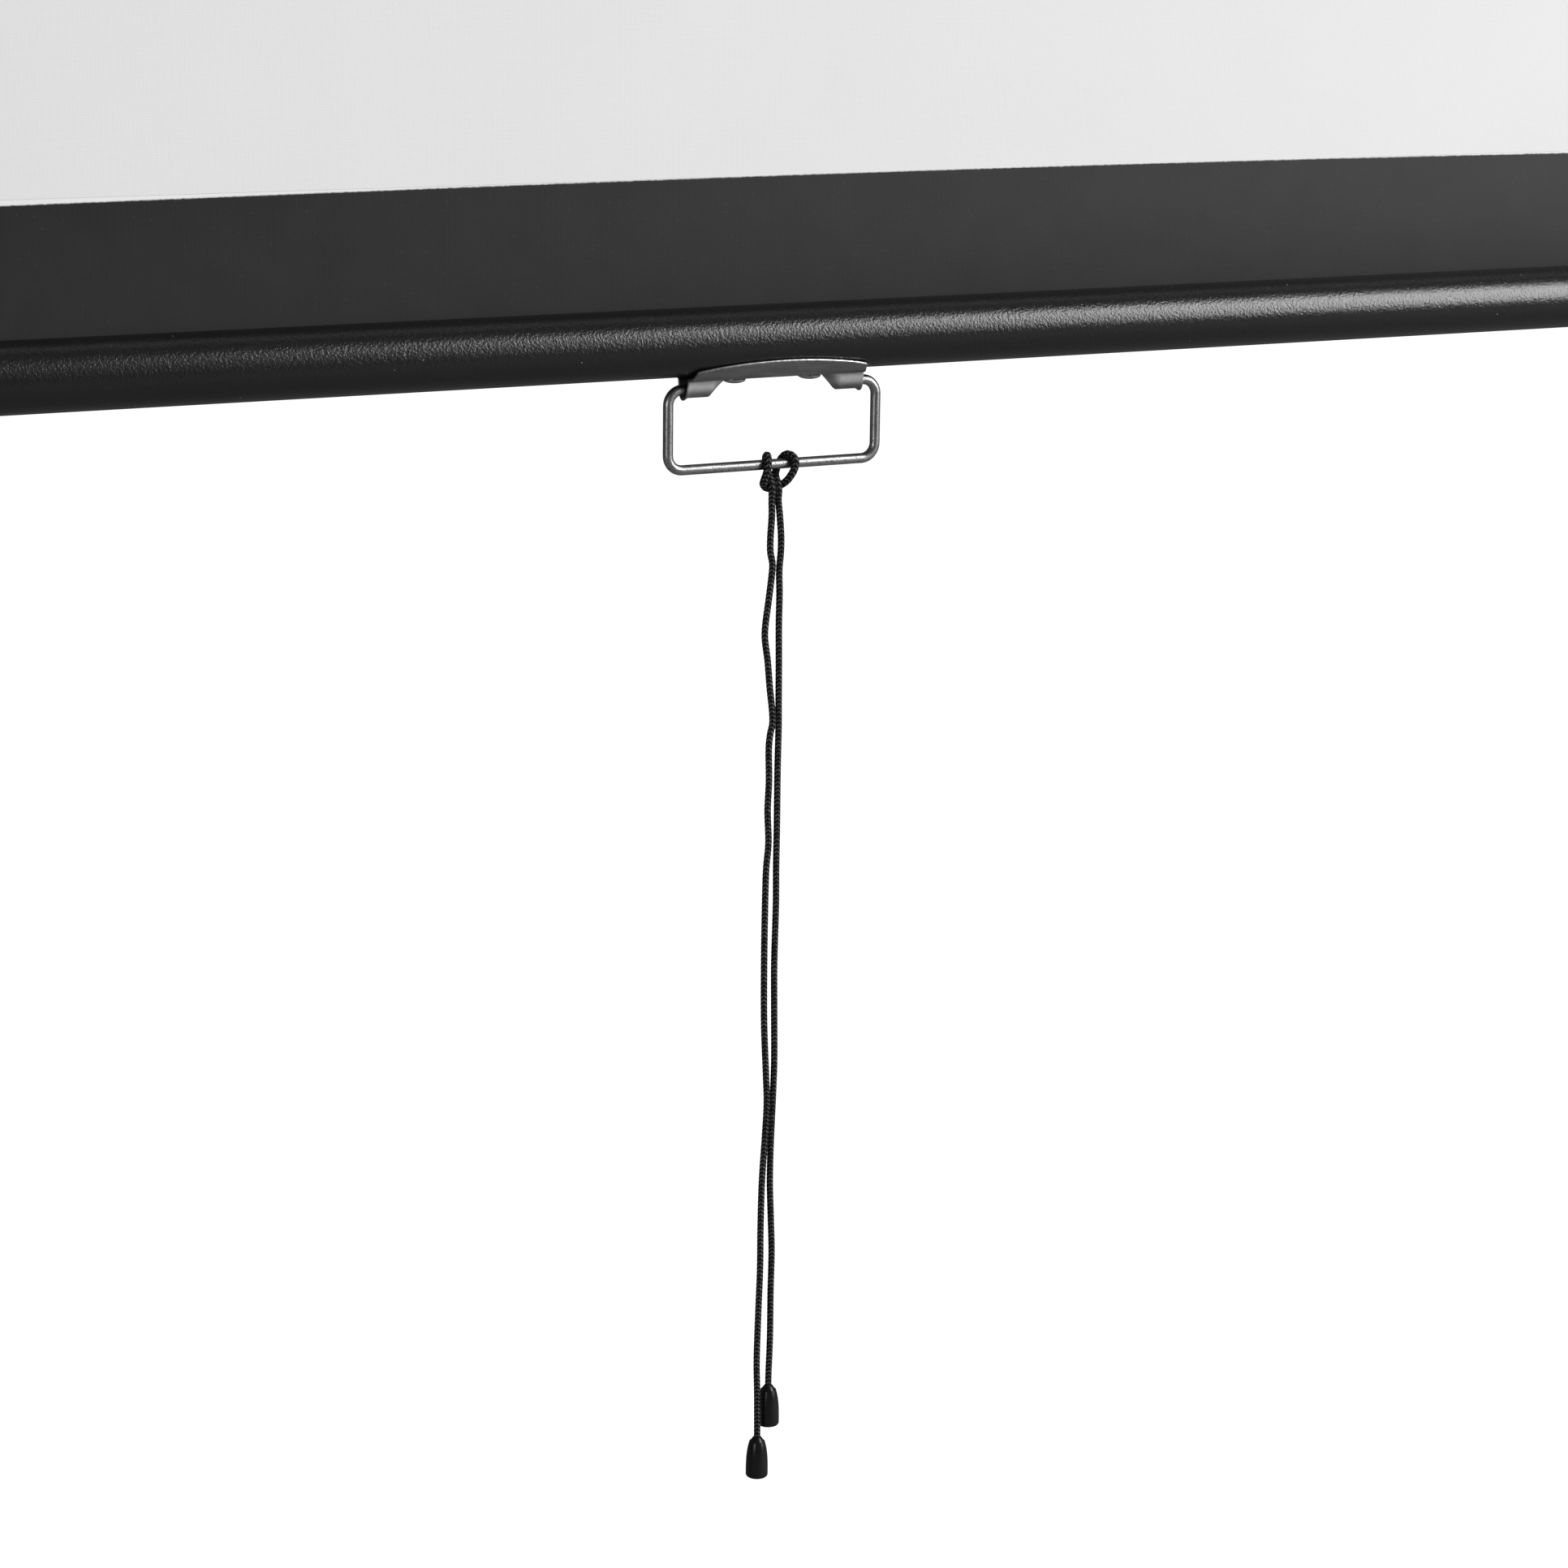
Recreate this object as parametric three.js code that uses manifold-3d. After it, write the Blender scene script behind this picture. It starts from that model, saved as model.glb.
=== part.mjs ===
// Pull down projector screen, open, in millimetres.
// +X runs to the viewer's right, +Z is up and the viewer stands at -Y.
// The origin is the middle of the casing's flat back, which hangs on the wall.

import * as THREE from "three";
import { mergeVertices } from "three/addons/utils/BufferGeometryUtils.js";
import Module from "manifold-3d";

// Fits and drawing
const gap = 0.3; // between pieces that meet or turn in each other
const overrun = 1; // how far a cutter passes the face it cuts
const mergeDistance = 1e-4;
const fineSides = 40;
const roundSides = 24;
const smallSides = 12;

// Screen sheet
const imageWidth = 1220;
const imageHeight = 915;
const sideBorder = 40;
const topBorder = 60;
const bottomBorder = 45;
const sheetThickness = 0.5;
const inkThickness = 0.12;
const sheetSetback = 16; // from the wall to the hanging sheet

// Casing
const caseHeight = 70;
const caseDepth = 68;
const caseWall = 1;
const caseFrontRadius = 16;
const caseBackRadius = 3;
const caseSlot = 16;
const caseLip = 5;
const caseEndRoom = 18; // beyond each edge of the sheet
const capPlate = 4;
const capBevel = 1.5;
const capRimDepth = 12;
const capRimWall = 2;
const capBossRadius = 11;
const capBossLength = 7.5;
const screwBossRadius = 4.5;

// Wall and ceiling brackets
const hangerThickness = 2;
const hangerFlange = 24;
const hangerBelow = 14; // below the casing's middle
const hangerRelief = 6; // corner left open between its two flanges
const hangerFront = 56; // from the wall to the bracket's front edge
const hangerCorner = 6;
const keyholeRadius = 4.5;
const keyholeSlot = 4.6;
const keyholeRise = 12;
const ceilingHoleRadius = 3.5;

// Screws
const screwRadius = 2;
const screwHeadRadius = 4;
const screwHeadHeight = 2.4;
const screwLength = 9;
const screwRecess = 1.2;
const screwRecessRadius = 1.6;

// Roller
const rollerRadius = 17.5;
const rollerWall = 1;
const rollerMargin = 2; // tube beyond each edge of the sheet
const rollerHeadroom = 5.2; // between the wrapped roller and the casing's top
const restTurns = 2; // turns of sheet that never leave the roller
const plugLength = 20;
const plugFlange = 3;
const idlerPinRadius = 3;
const idlerPinLength = 30;
const bushWall = 3;

// Spring motor
const mandrelRadius = 4;
const mandrelReach = 430; // from the casing's end into the roller
const mandrelFlat = 5.4;
const mandrelTip = 6;
const springWire = 1.6;
const springRadius = 12.2;
const springTurns = 22;
const springEndRoom = 10;
const springSteps = 8; // around each turn
const springSides = 5;
const spigotLength = 30;
const anchorLength = 24;
const bearingLength = 8;

// Ratchet
const ratchetTeeth = 4;
const ratchetRadius = 8;
const ratchetDepth = 1.6;
const ratchetThickness = 3;
const ratchetStop = 125; // polar degrees of a tooth's stop face, from +Y towards +Z
const pawlPivot = 13;
const pawlBoss = 2.6;
const pawlThickness = 2.5;
const pawlNoseWidth = 2.8;
const pawlBite = 1.05; // how deep an engaged nose sits below the teeth
const pawlLift = 12; // degrees that the pawls rest clear of the teeth
const pawlPinRadius = 1.2;
const pawlPinHead = 2.2;
const pawlPinHeadHeight = 0.8;

// Weight tube
const tubeRadius = 12.5;
const tubeWall = 1.2;
const tubeSlot = 3;
const tubeEndRoom = 10; // beyond each edge of the sheet
const tubePlugFlange = 3;
const tubePlugProud = 0.5;
const tubePlugStub = 9;
const tubePlugWall = 2;
const hemRodRadius = 3;
const hemRodShort = 5; // how far the rod ends inside each edge

// Handle bracket
const plateThickness = 0.9;
const plateLength = 72;
const plateFlat = 6.6; // half the width of its flat underside
const plateLipMiddle = 11.2; // half its width at the middle
const plateLipEnd = 8.9; // half its width at its ends
const plateLipSlope = 1.34;
const plateBend = 0.6; // softness of the bend between underside and lip
const plateCrown = 1.8; // how far its ends stand out at the middle of their width
const earDepth = 6.4;
const earFold = 6.3; // half the width of an ear
const earLength = 10; // full depth, from the end
const earRamp = 5.4;
const earFlare = 0.9;
const bracketShift = -0.7; // its middle from the tube's middle
const rivetSpacing = 30.6;
const rivetRadius = 2;
const rivetHeadRadius = 4.2;
const rivetHeadHeight = 2;
const rivetTail = 3;
const rivetTailHeight = 1.4;

// Wire bail
const wireRadius = 1.85;
const bailWidth = 88.2;
const bailDrop = 28.9; // from its pivot to the middle of its grip
const bailPivot = 4.5; // below the tube
const bailBend = 5.5;
const bailEnd = 8.4; // length of wire inside each ear
const bendSteps = 5;

// Pull cord
const cordRadius = 1.2;
const cordSides = 8;
const tipLength = 16.6;
const tipRadius = 4.25;
const tipNeck = 2.65;
const tipNeckLength = 2.1;
const tipHoleRoom = 0.3;
const tipCavity = 2.9;
const tipRoof = 3.4;
const tipRim = 0.7;
const knotRadius = 2.3;

// Places that follow from the sizes above
const sheetWidth = imageWidth + 2 * sideBorder;
const halfSheet = sheetWidth / 2;
const halfCase = halfSheet + caseEndRoom;
const halfRoller = halfSheet + rollerMargin;
const halfTube = halfSheet + tubeEndRoom;
const caseBottom = -caseHeight / 2;
const caseTop = caseHeight / 2;
const sheetY = -sheetSetback;
const wrapInner = rollerRadius + gap;
const wrapRadius = wrapInner + restTurns * sheetThickness;
const rollerY = sheetY - sheetThickness / 2 - gap - wrapRadius;
const rollerRise = caseTop - caseWall - rollerHeadroom - wrapRadius;
const borderTop = caseBottom - topBorder - imageHeight;
const tubeTop = borderTop - bottomBorder;
const tubeZ = tubeTop - tubeRadius;

const radians = THREE.MathUtils.degToRad;

// Solids

function solid(geometry) {
  const bare = geometry.index ? geometry.toNonIndexed() : geometry.clone();
  bare.deleteAttribute("normal");
  bare.deleteAttribute("uv");
  const merged = mergeVertices(bare, mergeDistance);
  return new wasm.Manifold(
    new wasm.Mesh({
      numProp: 3,
      vertProperties: merged.attributes.position.array,
      triVerts: new Uint32Array(merged.index.array),
    }),
  );
}

function geometryOf(made) {
  const { vertProperties, triVerts } = made.getMesh();
  const geometry = new THREE.BufferGeometry();
  geometry.setAttribute("position", new THREE.BufferAttribute(vertProperties, 3));
  geometry.setIndex(new THREE.BufferAttribute(triVerts, 1));
  return geometry;
}

const wasm = await Module();
wasm.setup();

const joined = (...solids) => solids.reduce((whole, piece) => whole.add(piece));

// A box between two corners.
function block([x0, y0, z0], [x1, y1, z1]) {
  const geometry = new THREE.BoxGeometry(x1 - x0, y1 - y0, z1 - z0);
  return solid(geometry.translate((x0 + x1) / 2, (y0 + y1) / 2, (z0 + z1) / 2));
}

// Round bars along each axis, from one place to another, centred on the other two.
function barX(radius, from, to, y = 0, z = 0, sides = roundSides) {
  const bar = new THREE.CylinderGeometry(radius, radius, to - from, sides).rotateZ(-Math.PI / 2);
  return solid(bar.translate((from + to) / 2, y, z));
}

function barY(radius, from, to, x = 0, z = 0, sides = roundSides) {
  const bar = new THREE.CylinderGeometry(radius, radius, to - from, sides);
  return solid(bar.translate(x, (from + to) / 2, z));
}

function barZ(radius, from, to, x = 0, y = 0, sides = roundSides) {
  const bar = new THREE.CylinderGeometry(radius, radius, to - from, sides).rotateX(Math.PI / 2);
  return solid(bar.translate(x, y, (from + to) / 2));
}

// A turned piece: its profile is a closed list of [radius, place along the axis].
function turned(profile, sides) {
  const points = profile.map(([radius, along]) => new THREE.Vector2(radius, along));
  if (THREE.ShapeUtils.area(points) < 0) points.reverse();
  points.push(points[0].clone());
  return new THREE.LatheGeometry(points, sides);
}

const turnedX = (profile, sides = roundSides) => turned(profile, sides).rotateZ(-Math.PI / 2);
const turnedZ = (profile, sides = roundSides) => turned(profile, sides).rotateX(Math.PI / 2);

// A (y, z) outline drawn out along X.
const drawnAlongX = new THREE.Matrix4().makeBasis(
  new THREE.Vector3(0, 1, 0),
  new THREE.Vector3(0, 0, 1),
  new THREE.Vector3(1, 0, 0),
);

function prism(outline, from, to, bevel = 0) {
  const geometry = new THREE.ExtrudeGeometry(outline, {
    depth: to - from,
    bevelEnabled: bevel > 0,
    bevelThickness: bevel,
    bevelSize: bevel,
    bevelOffset: -bevel,
    bevelSegments: 2,
    curveSegments: 6,
  });
  return solid(geometry.translate(0, 0, from).applyMatrix4(drawnAlongX));
}

function polygon(points) {
  return new THREE.Shape(points.map(([y, z]) => new THREE.Vector2(y, z)));
}

// A round tube whose rings sit on the points given, on a smooth curve through them.
function tube(points, radius, sides) {
  const path = new THREE.CatmullRomCurve3(points.map((point) => new THREE.Vector3(...point)));
  path.getUtoTmapping = (share) => share;
  const section = new THREE.Shape();
  for (let side = 0; side < sides; side++) {
    const turn = (2 * Math.PI * side) / sides;
    const [across, up] = [radius * Math.cos(turn), radius * Math.sin(turn)];
    if (side === 0) section.moveTo(across, up);
    else section.lineTo(across, up);
  }
  section.closePath();
  return new THREE.ExtrudeGeometry(section, { steps: points.length - 1, extrudePath: path });
}

// Finishes, one material for each piece
const finishes = {
  matteWhite: [0xe9e9e9, 0.9, 0],
  blackInk: [0x2d2d2d, 0.8, 0],
  caseWhite: [0xe6e6e4, 0.5, 0.1],
  capWhite: [0xdededb, 0.6, 0],
  blackCoat: [0x1f1f1f, 0.5, 0.2],
  zincSteel: [0x8a8a8a, 0.35, 1],
  platedWire: [0xb4b4b4, 0.25, 1],
  rollerSteel: [0x9a9a98, 0.45, 1],
  springSteel: [0x5e5e5e, 0.4, 1],
  nylon: [0xd8d4c8, 0.6, 0],
  blackPlastic: [0x1c1c1c, 0.45, 0],
  blackCord: [0x161616, 0.85, 0],
};

function piece(name, finish, shape) {
  const [color, roughness, metalness] = finishes[finish];
  const material = new THREE.MeshStandardMaterial({ color, roughness, metalness });
  const geometry = shape.isBufferGeometry ? shape : geometryOf(shape);
  const mesh = new THREE.Mesh(geometry, material);
  mesh.name = name;
  return mesh;
}

function group(place, ...children) {
  const made = new THREE.Group();
  made.position.set(...place);
  made.add(...children);
  return made;
}

const sides = [
  ["left", -1],
  ["right", 1],
];

// Mirrors a place along X: from and to are distances from the middle of the screen.
function span(hand, from, to) {
  return hand < 0 ? [-to, -from] : [from, to];
}

// Casing: a roll formed shell with flat back and top, a rounded front and a slot below
function caseOutline(inset) {
  const front = -caseDepth + inset;
  const back = -inset;
  const [bottom, top] = [caseBottom + inset, caseTop - inset];
  const frontRadius = caseFrontRadius - inset;
  const backRadius = caseBackRadius - Math.min(inset, caseBackRadius / 2);
  const outline = new THREE.Shape();
  outline.moveTo(front + frontRadius, bottom);
  outline.lineTo(back - backRadius, bottom);
  outline.absarc(back - backRadius, bottom + backRadius, backRadius, -Math.PI / 2, 0);
  outline.absarc(back - backRadius, top - backRadius, backRadius, 0, Math.PI / 2);
  outline.absarc(front + frontRadius, top - frontRadius, frontRadius, Math.PI / 2, Math.PI);
  outline.absarc(
    front + frontRadius,
    bottom + frontRadius,
    frontRadius,
    Math.PI,
    (3 * Math.PI) / 2,
  );
  return outline;
}

const slotFront = sheetY - caseSlot / 2;
const slotBack = sheetY + caseSlot / 2;
const capScrewX = halfCase - capRimDepth / 2;
const capScrewPlaces = [
  ["front", rollerY - capBossRadius - screwHeadRadius],
  ["rear", rollerY],
];

function casingShell() {
  const skin = prism(caseOutline(0), -halfCase, halfCase);
  const hollow = prism(caseOutline(caseWall), -halfCase - overrun, halfCase + overrun);
  const slot = block(
    [-halfCase - overrun, slotFront, caseBottom - overrun],
    [halfCase + overrun, slotBack, caseBottom + caseWall + overrun],
  );
  const lips = [
    [slotFront - caseWall, slotFront],
    [slotBack, slotBack + caseWall],
  ].map(([front, back]) =>
    block(
      [capRimDepth + gap - halfCase, front, caseBottom],
      [halfCase - capRimDepth - gap, back, caseBottom + caseLip],
    ),
  );
  let shell = skin.subtract(hollow).subtract(slot);
  shell = joined(shell, ...lips);
  for (const hand of [-1, 1])
    for (const [, y] of capScrewPlaces)
      shell = shell.subtract(
        barZ(
          screwRadius + gap,
          caseBottom - overrun,
          caseBottom + caseWall + overrun,
          hand * capScrewX,
          y,
          smallSides,
        ),
      );
  return shell;
}

// End cap: a plate with a rim that plugs into the shell and a boss for the roller's support
const hangerScrewPlaces = [
  ["front", -hangerFront + hangerCorner + screwHeadRadius / 2, rollerRise],
  ["rear", -hangerCorner - screwHeadRadius, rollerRise],
];

function endCap(hand) {
  const inner = halfCase;
  const outer = halfCase + capPlate;
  const [plateFrom, plateTo] = span(hand, inner - capPlate, outer);
  const [cutFrom, cutTo] = span(hand, inner - capPlate - overrun, inner);
  let cap = prism(caseOutline(0), plateFrom + capBevel, plateTo - capBevel, capBevel);
  cap = cap.subtract(
    block(
      [cutFrom, -caseDepth - overrun, caseBottom - overrun],
      [cutTo, overrun, caseTop + overrun],
    ),
  );
  const [rimFrom, rimTo] = span(hand, inner - capRimDepth, inner + capPlate / 2);
  const [rimCutFrom, rimCutTo] = span(hand, inner - capRimDepth - overrun, inner);
  const rim = prism(caseOutline(caseWall + gap), rimFrom, rimTo).subtract(
    prism(caseOutline(caseWall + gap + capRimWall), rimCutFrom, rimCutTo),
  );
  const [bossFrom, bossTo] = span(hand, inner - capBossLength, inner + capPlate / 2);
  cap = joined(cap, rim, barX(capBossRadius, bossFrom, bossTo, rollerY, rollerRise));
  for (const [, y, z] of hangerScrewPlaces) {
    const [from, to] = span(hand, inner - capBossLength, inner + capPlate / 2);
    cap = cap.add(barX(screwBossRadius, from, to, y, z, smallSides));
  }
  const rimBottom = caseBottom + caseWall + gap;
  for (const [, y] of capScrewPlaces) {
    cap = cap.add(
      block(
        [span(hand, inner - capRimDepth, inner)[0], y - screwBossRadius, rimBottom],
        [span(hand, inner - capRimDepth, inner)[1], y + screwBossRadius, rimBottom + screwLength],
      ),
    );
    cap = cap.subtract(
      barZ(
        screwRadius + gap,
        rimBottom - overrun,
        rimBottom + screwLength + overrun,
        hand * capScrewX,
        y,
        smallSides,
      ),
    );
  }
  for (const [, y, z] of hangerScrewPlaces) {
    const [from, to] = span(hand, inner - capBossLength - overrun, outer + overrun);
    cap = cap.subtract(barX(screwRadius + gap, from, to, y, z, smallSides));
  }
  return cap;
}

// The left cap's boss has a flat sided socket, so that the mandrel can't turn in it.
function leftCap() {
  const socket = block(
    [-halfCase - mandrelTip / 2, -mandrelRadius - gap, -mandrelFlat / 2 - gap],
    [capBossLength + overrun - halfCase, mandrelRadius + gap, mandrelFlat / 2 + gap],
  ).translate([0, rollerY, rollerRise]);
  return endCap(-1).subtract(socket);
}

// The right cap's boss holds the idler bush.
const bushOuter = idlerPinRadius + gap + bushWall;

function rightCap() {
  return endCap(1).subtract(
    barX(
      bushOuter + gap,
      halfCase - capBossLength - overrun,
      halfCase,
      rollerY,
      rollerRise,
    ),
  );
}

// Bracket on each cap: a side plate with a rear flange for the wall and a top flange for the ceiling
const hangerInner = halfCase + capPlate + gap;
const hangerOuter = hangerInner + hangerThickness;

function hanger(hand) {
  const plate = new THREE.Shape();
  plate.moveTo(0, -hangerBelow);
  plate.lineTo(0, caseTop - hangerRelief);
  plate.lineTo(-hangerRelief, caseTop);
  plate.lineTo(-hangerFront, caseTop);
  plate.lineTo(-hangerFront, hangerCorner);
  plate.lineTo(-hangerFront + hangerCorner, 0);
  plate.lineTo(-hangerFront / 2, -hangerBelow);
  const [plateFrom, plateTo] = span(hand, hangerInner, hangerOuter);
  const [flangeFrom, flangeTo] = span(hand, hangerInner, hangerOuter + hangerFlange);
  const rear = block(
    [flangeFrom, -hangerThickness, -hangerBelow],
    [flangeTo, 0, caseTop - hangerRelief],
  );
  const top = block(
    [flangeFrom, -hangerFront, caseTop - hangerThickness],
    [flangeTo, -hangerRelief, caseTop],
  );
  let made = joined(prism(plate, plateFrom, plateTo), rear, top);
  const holeX = hand * (hangerOuter + hangerFlange / 2);
  const keyholeZ = hangerCorner;
  const through = [-hangerThickness - overrun, overrun];
  made = made.subtract(barY(keyholeRadius, ...through, holeX, keyholeZ, smallSides));
  made = made.subtract(
    barY(keyholeSlot / 2, ...through, holeX, keyholeZ + keyholeRise, smallSides),
  );
  made = made.subtract(
    block(
      [holeX - keyholeSlot / 2, through[0], keyholeZ],
      [holeX + keyholeSlot / 2, through[1], keyholeZ + keyholeRise],
    ),
  );
  made = made.subtract(
    barZ(
      ceilingHoleRadius,
      caseTop - hangerThickness - overrun,
      caseTop + overrun,
      holeX,
      rollerY,
      smallSides,
    ),
  );
  for (const [, y, z] of hangerScrewPlaces) {
    const [from, to] = span(hand, hangerInner - overrun, hangerOuter + overrun);
    made = made.subtract(barX(screwRadius + gap, from, to, y, z, smallSides));
  }
  return made;
}

// A pan headed screw with a six sided recess. Its head's underside is at zero and its shank runs up.
function screw() {
  const round = screwHeadHeight / 3;
  const head = turnedZ([
    [0, 0],
    [screwHeadRadius, 0],
    [screwHeadRadius, round - screwHeadHeight],
    [screwHeadRadius - round, -screwHeadHeight],
    [0, -screwHeadHeight],
  ]);
  const shank = barZ(screwRadius, -screwHeadHeight / 2, screwLength, 0, 0, smallSides);
  const recess = barZ(
    screwRecessRadius,
    -screwHeadHeight - overrun,
    screwRecess - screwHeadHeight,
    0,
    0,
    6,
  );
  return geometryOf(joined(solid(head), shank).subtract(recess));
}

function casingScrews() {
  const made = [];
  for (const [side, hand] of sides) {
    for (const [place, y] of capScrewPlaces) {
      const capScrew = piece(`cap_screw_${side}_${place}`, "zincSteel", screw());
      capScrew.position.set(hand * capScrewX, y, caseBottom - gap);
      made.push(capScrew);
    }
    for (const [place, y, z] of hangerScrewPlaces) {
      const hangerScrew = piece(`hanger_screw_${side}_${place}`, "zincSteel", screw());
      hangerScrew.rotation.y = (-hand * Math.PI) / 2;
      hangerScrew.position.set(hand * (hangerOuter + gap), y, z);
      made.push(hangerScrew);
    }
  }
  return made;
}

const casing = group(
  [0, 0, 0],
  piece("casing_shell", "caseWhite", casingShell()),
  piece("end_cap_left", "capWhite", leftCap()),
  piece("end_cap_right", "capWhite", rightCap()),
  ...sides.map(([side, hand]) => piece(`hanger_${side}`, "zincSteel", hanger(hand))),
  ...casingScrews(),
);

// Fixed pieces on the roller's axis
const tubeInner = rollerRadius - rollerWall;
const flangeEnd = halfRoller + gap + plugFlange;
const pawlFace = flangeEnd + gap;
const bearingX = mandrelReach - bearingLength - halfCase;
const anchorX = bearingX - gap - anchorLength;
const spigotRadius = springRadius * Math.cos(Math.PI / springSteps) - springWire / 2 - gap;

function springMandrel() {
  const shaft = barX(mandrelRadius, -halfCase - mandrelTip / 2 + gap, mandrelReach - halfCase);
  const flats = [-1, 1].map((face) => {
    const near = (face * mandrelFlat) / 2;
    const far = face * (mandrelRadius + overrun);
    return block(
      [-halfCase - mandrelTip, -mandrelRadius - overrun, Math.min(near, far)],
      [capBossLength - halfCase + gap, mandrelRadius + overrun, Math.max(near, far)],
    );
  });
  return flats.reduce((left, flat) => left.subtract(flat), shaft);
}

function ratchetWheel() {
  const outline = new THREE.Shape();
  const stepsPerTooth = 8;
  for (let tooth = 0; tooth < ratchetTeeth; tooth++)
    for (let step = 0; step <= stepsPerTooth; step++) {
      const share = step / stepsPerTooth;
      const turn = radians(ratchetStop) + (2 * Math.PI * (tooth + share)) / ratchetTeeth;
      const radius = ratchetRadius - ratchetDepth * share;
      const [y, z] = [radius * Math.cos(turn), radius * Math.sin(turn)];
      if (tooth + step === 0) outline.moveTo(y, z);
      else outline.lineTo(y, z);
    }
  const [from, to] = [-pawlFace - ratchetThickness, -pawlFace];
  return prism(outline, from, to).subtract(
    barX(mandrelRadius + gap, from - overrun, to + overrun),
  );
}

function springAnchor() {
  return barX(spigotRadius, anchorX, anchorX + anchorLength).subtract(
    barX(mandrelRadius + gap, anchorX - overrun, anchorX + anchorLength + overrun),
  );
}

function idlerBush() {
  const [from, to] = [halfCase - capBossLength + gap, halfCase - gap];
  return barX(bushOuter, from, to).subtract(
    barX(idlerPinRadius + gap, from - overrun, to + overrun),
  );
}

const rollerSupports = group(
  [0, rollerY, rollerRise],
  piece("spring_mandrel", "rollerSteel", springMandrel()),
  piece("ratchet_wheel", "rollerSteel", ratchetWheel()),
  piece("spring_anchor", "nylon", springAnchor()),
  piece("idler_bush", "nylon", idlerBush()),
);

// Roller and the pieces that turn with it
function rollerTube() {
  return barX(rollerRadius, -halfRoller, halfRoller, 0, 0, fineSides).subtract(
    barX(tubeInner, -halfRoller - overrun, halfRoller + overrun, 0, 0, fineSides),
  );
}

function rollerWrap() {
  return barX(wrapRadius, -halfSheet, halfSheet, 0, 0, fineSides).subtract(
    barX(wrapInner, -halfSheet - overrun, halfSheet + overrun, 0, 0, fineSides),
  );
}

const pawls = [
  ["upper", 1],
  ["lower", -1],
];

function springFerrule() {
  const plug = barX(tubeInner - gap, -halfRoller - gap, plugLength - halfRoller, 0, 0, fineSides);
  const flange = barX(rollerRadius, -flangeEnd, -halfRoller - gap, 0, 0, fineSides);
  const spigotEnd = plugLength + spigotLength - halfRoller;
  let made = joined(plug, flange, barX(spigotRadius, plugLength - halfRoller - overrun, spigotEnd));
  made = made.subtract(barX(mandrelRadius + gap, -flangeEnd - overrun, spigotEnd + overrun));
  for (const [, up] of pawls)
    made = made.subtract(
      barX(
        pawlPinRadius + gap,
        -flangeEnd - overrun,
        -halfRoller,
        0,
        up * pawlPivot,
        smallSides,
      ),
    );
  return made;
}

function mandrelBearing() {
  const from = bearingX;
  return barX(tubeInner - gap, from, from + bearingLength, 0, 0, fineSides).subtract(
    barX(mandrelRadius + gap, from - overrun, from + bearingLength + overrun),
  );
}

function idlerPlug() {
  const plug = barX(tubeInner - gap, halfRoller - plugLength, halfRoller + gap, 0, 0, fineSides);
  const flange = barX(rollerRadius, halfRoller + gap, flangeEnd, 0, 0, fineSides);
  return joined(plug, flange).subtract(
    barX(idlerPinRadius + gap, halfRoller - plugLength - overrun, flangeEnd + overrun),
  );
}

function idlerPin() {
  const end = halfCase - gap;
  return barX(idlerPinRadius, end - idlerPinLength, end);
}

function torsionSpring() {
  const from = plugLength - halfRoller + springEndRoom;
  const to = anchorX + anchorLength - springEndRoom;
  const steps = springTurns * springSteps;
  const points = [];
  for (let step = 0; step <= steps; step++) {
    const turn = (2 * Math.PI * step) / springSteps;
    points.push([
      from + ((to - from) * step) / steps,
      springRadius * Math.cos(turn),
      springRadius * Math.sin(turn),
    ]);
  }
  return tube(points, springWire / 2, springSides);
}

// Pawl drawn engaged and turned back to rest clear of the teeth; its pivot is its own origin.
function pawlShape() {
  const polar = (radius, degrees) => [
    radius * Math.cos(radians(degrees)),
    radius * Math.sin(radians(degrees)) - pawlPivot,
  ];
  const bite = ratchetRadius - pawlBite;
  const stopFace = ratchetStop - (180 / Math.PI) * (gap / bite);
  const heel = stopFace - (180 / Math.PI) * (pawlNoseWidth / ratchetRadius);
  const outline = polygon([
    polar(bite, stopFace),
    polar(bite + pawlNoseWidth, stopFace),
    [-pawlBoss, 0],
    [pawlBoss, 0],
    polar(ratchetRadius, heel),
  ]);
  const [from, to] = [-pawlFace - pawlThickness, -pawlFace];
  return joined(prism(outline, from, to), barX(pawlBoss, from, to)).subtract(
    barX(pawlPinRadius + gap, from - overrun, to + overrun, 0, 0, smallSides),
  );
}

function pawlPin() {
  const headFace = -pawlFace - pawlThickness - gap;
  return joined(
    barX(pawlPinRadius, headFace - pawlPinHeadHeight / 2, -halfRoller - gap, 0, 0, smallSides),
    barX(pawlPinHead, headFace - pawlPinHeadHeight, headFace, 0, 0, smallSides),
  );
}

function pawlAndPin([name, up]) {
  const pawl = piece(`pawl_${name}`, "springSteel", pawlShape());
  pawl.rotation.x = -radians(pawlLift);
  const both = group([0, 0, 0], pawl, piece(`pawl_pin_${name}`, "rollerSteel", pawlPin()));
  both.position.z = up * pawlPivot;
  both.rotation.x = up > 0 ? 0 : Math.PI;
  return both;
}

const roller = group(
  [0, rollerY, rollerRise],
  piece("roller_tube", "rollerSteel", rollerTube()),
  piece("roller_wrap", "blackInk", rollerWrap()),
  piece("spring_ferrule", "rollerSteel", springFerrule()),
  piece("mandrel_bearing", "nylon", mandrelBearing()),
  piece("torsion_spring", "springSteel", torsionSpring()),
  piece("idler_plug", "nylon", idlerPlug()),
  piece("idler_pin", "rollerSteel", idlerPin()),
  ...pawls.map(pawlAndPin),
);

// Hanging sheet, with its black masking printed along the sides and the top
function screenSheet() {
  return block(
    [-halfSheet, -sheetThickness / 2, borderTop],
    [halfSheet, sheetThickness / 2, rollerRise],
  );
}

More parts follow.
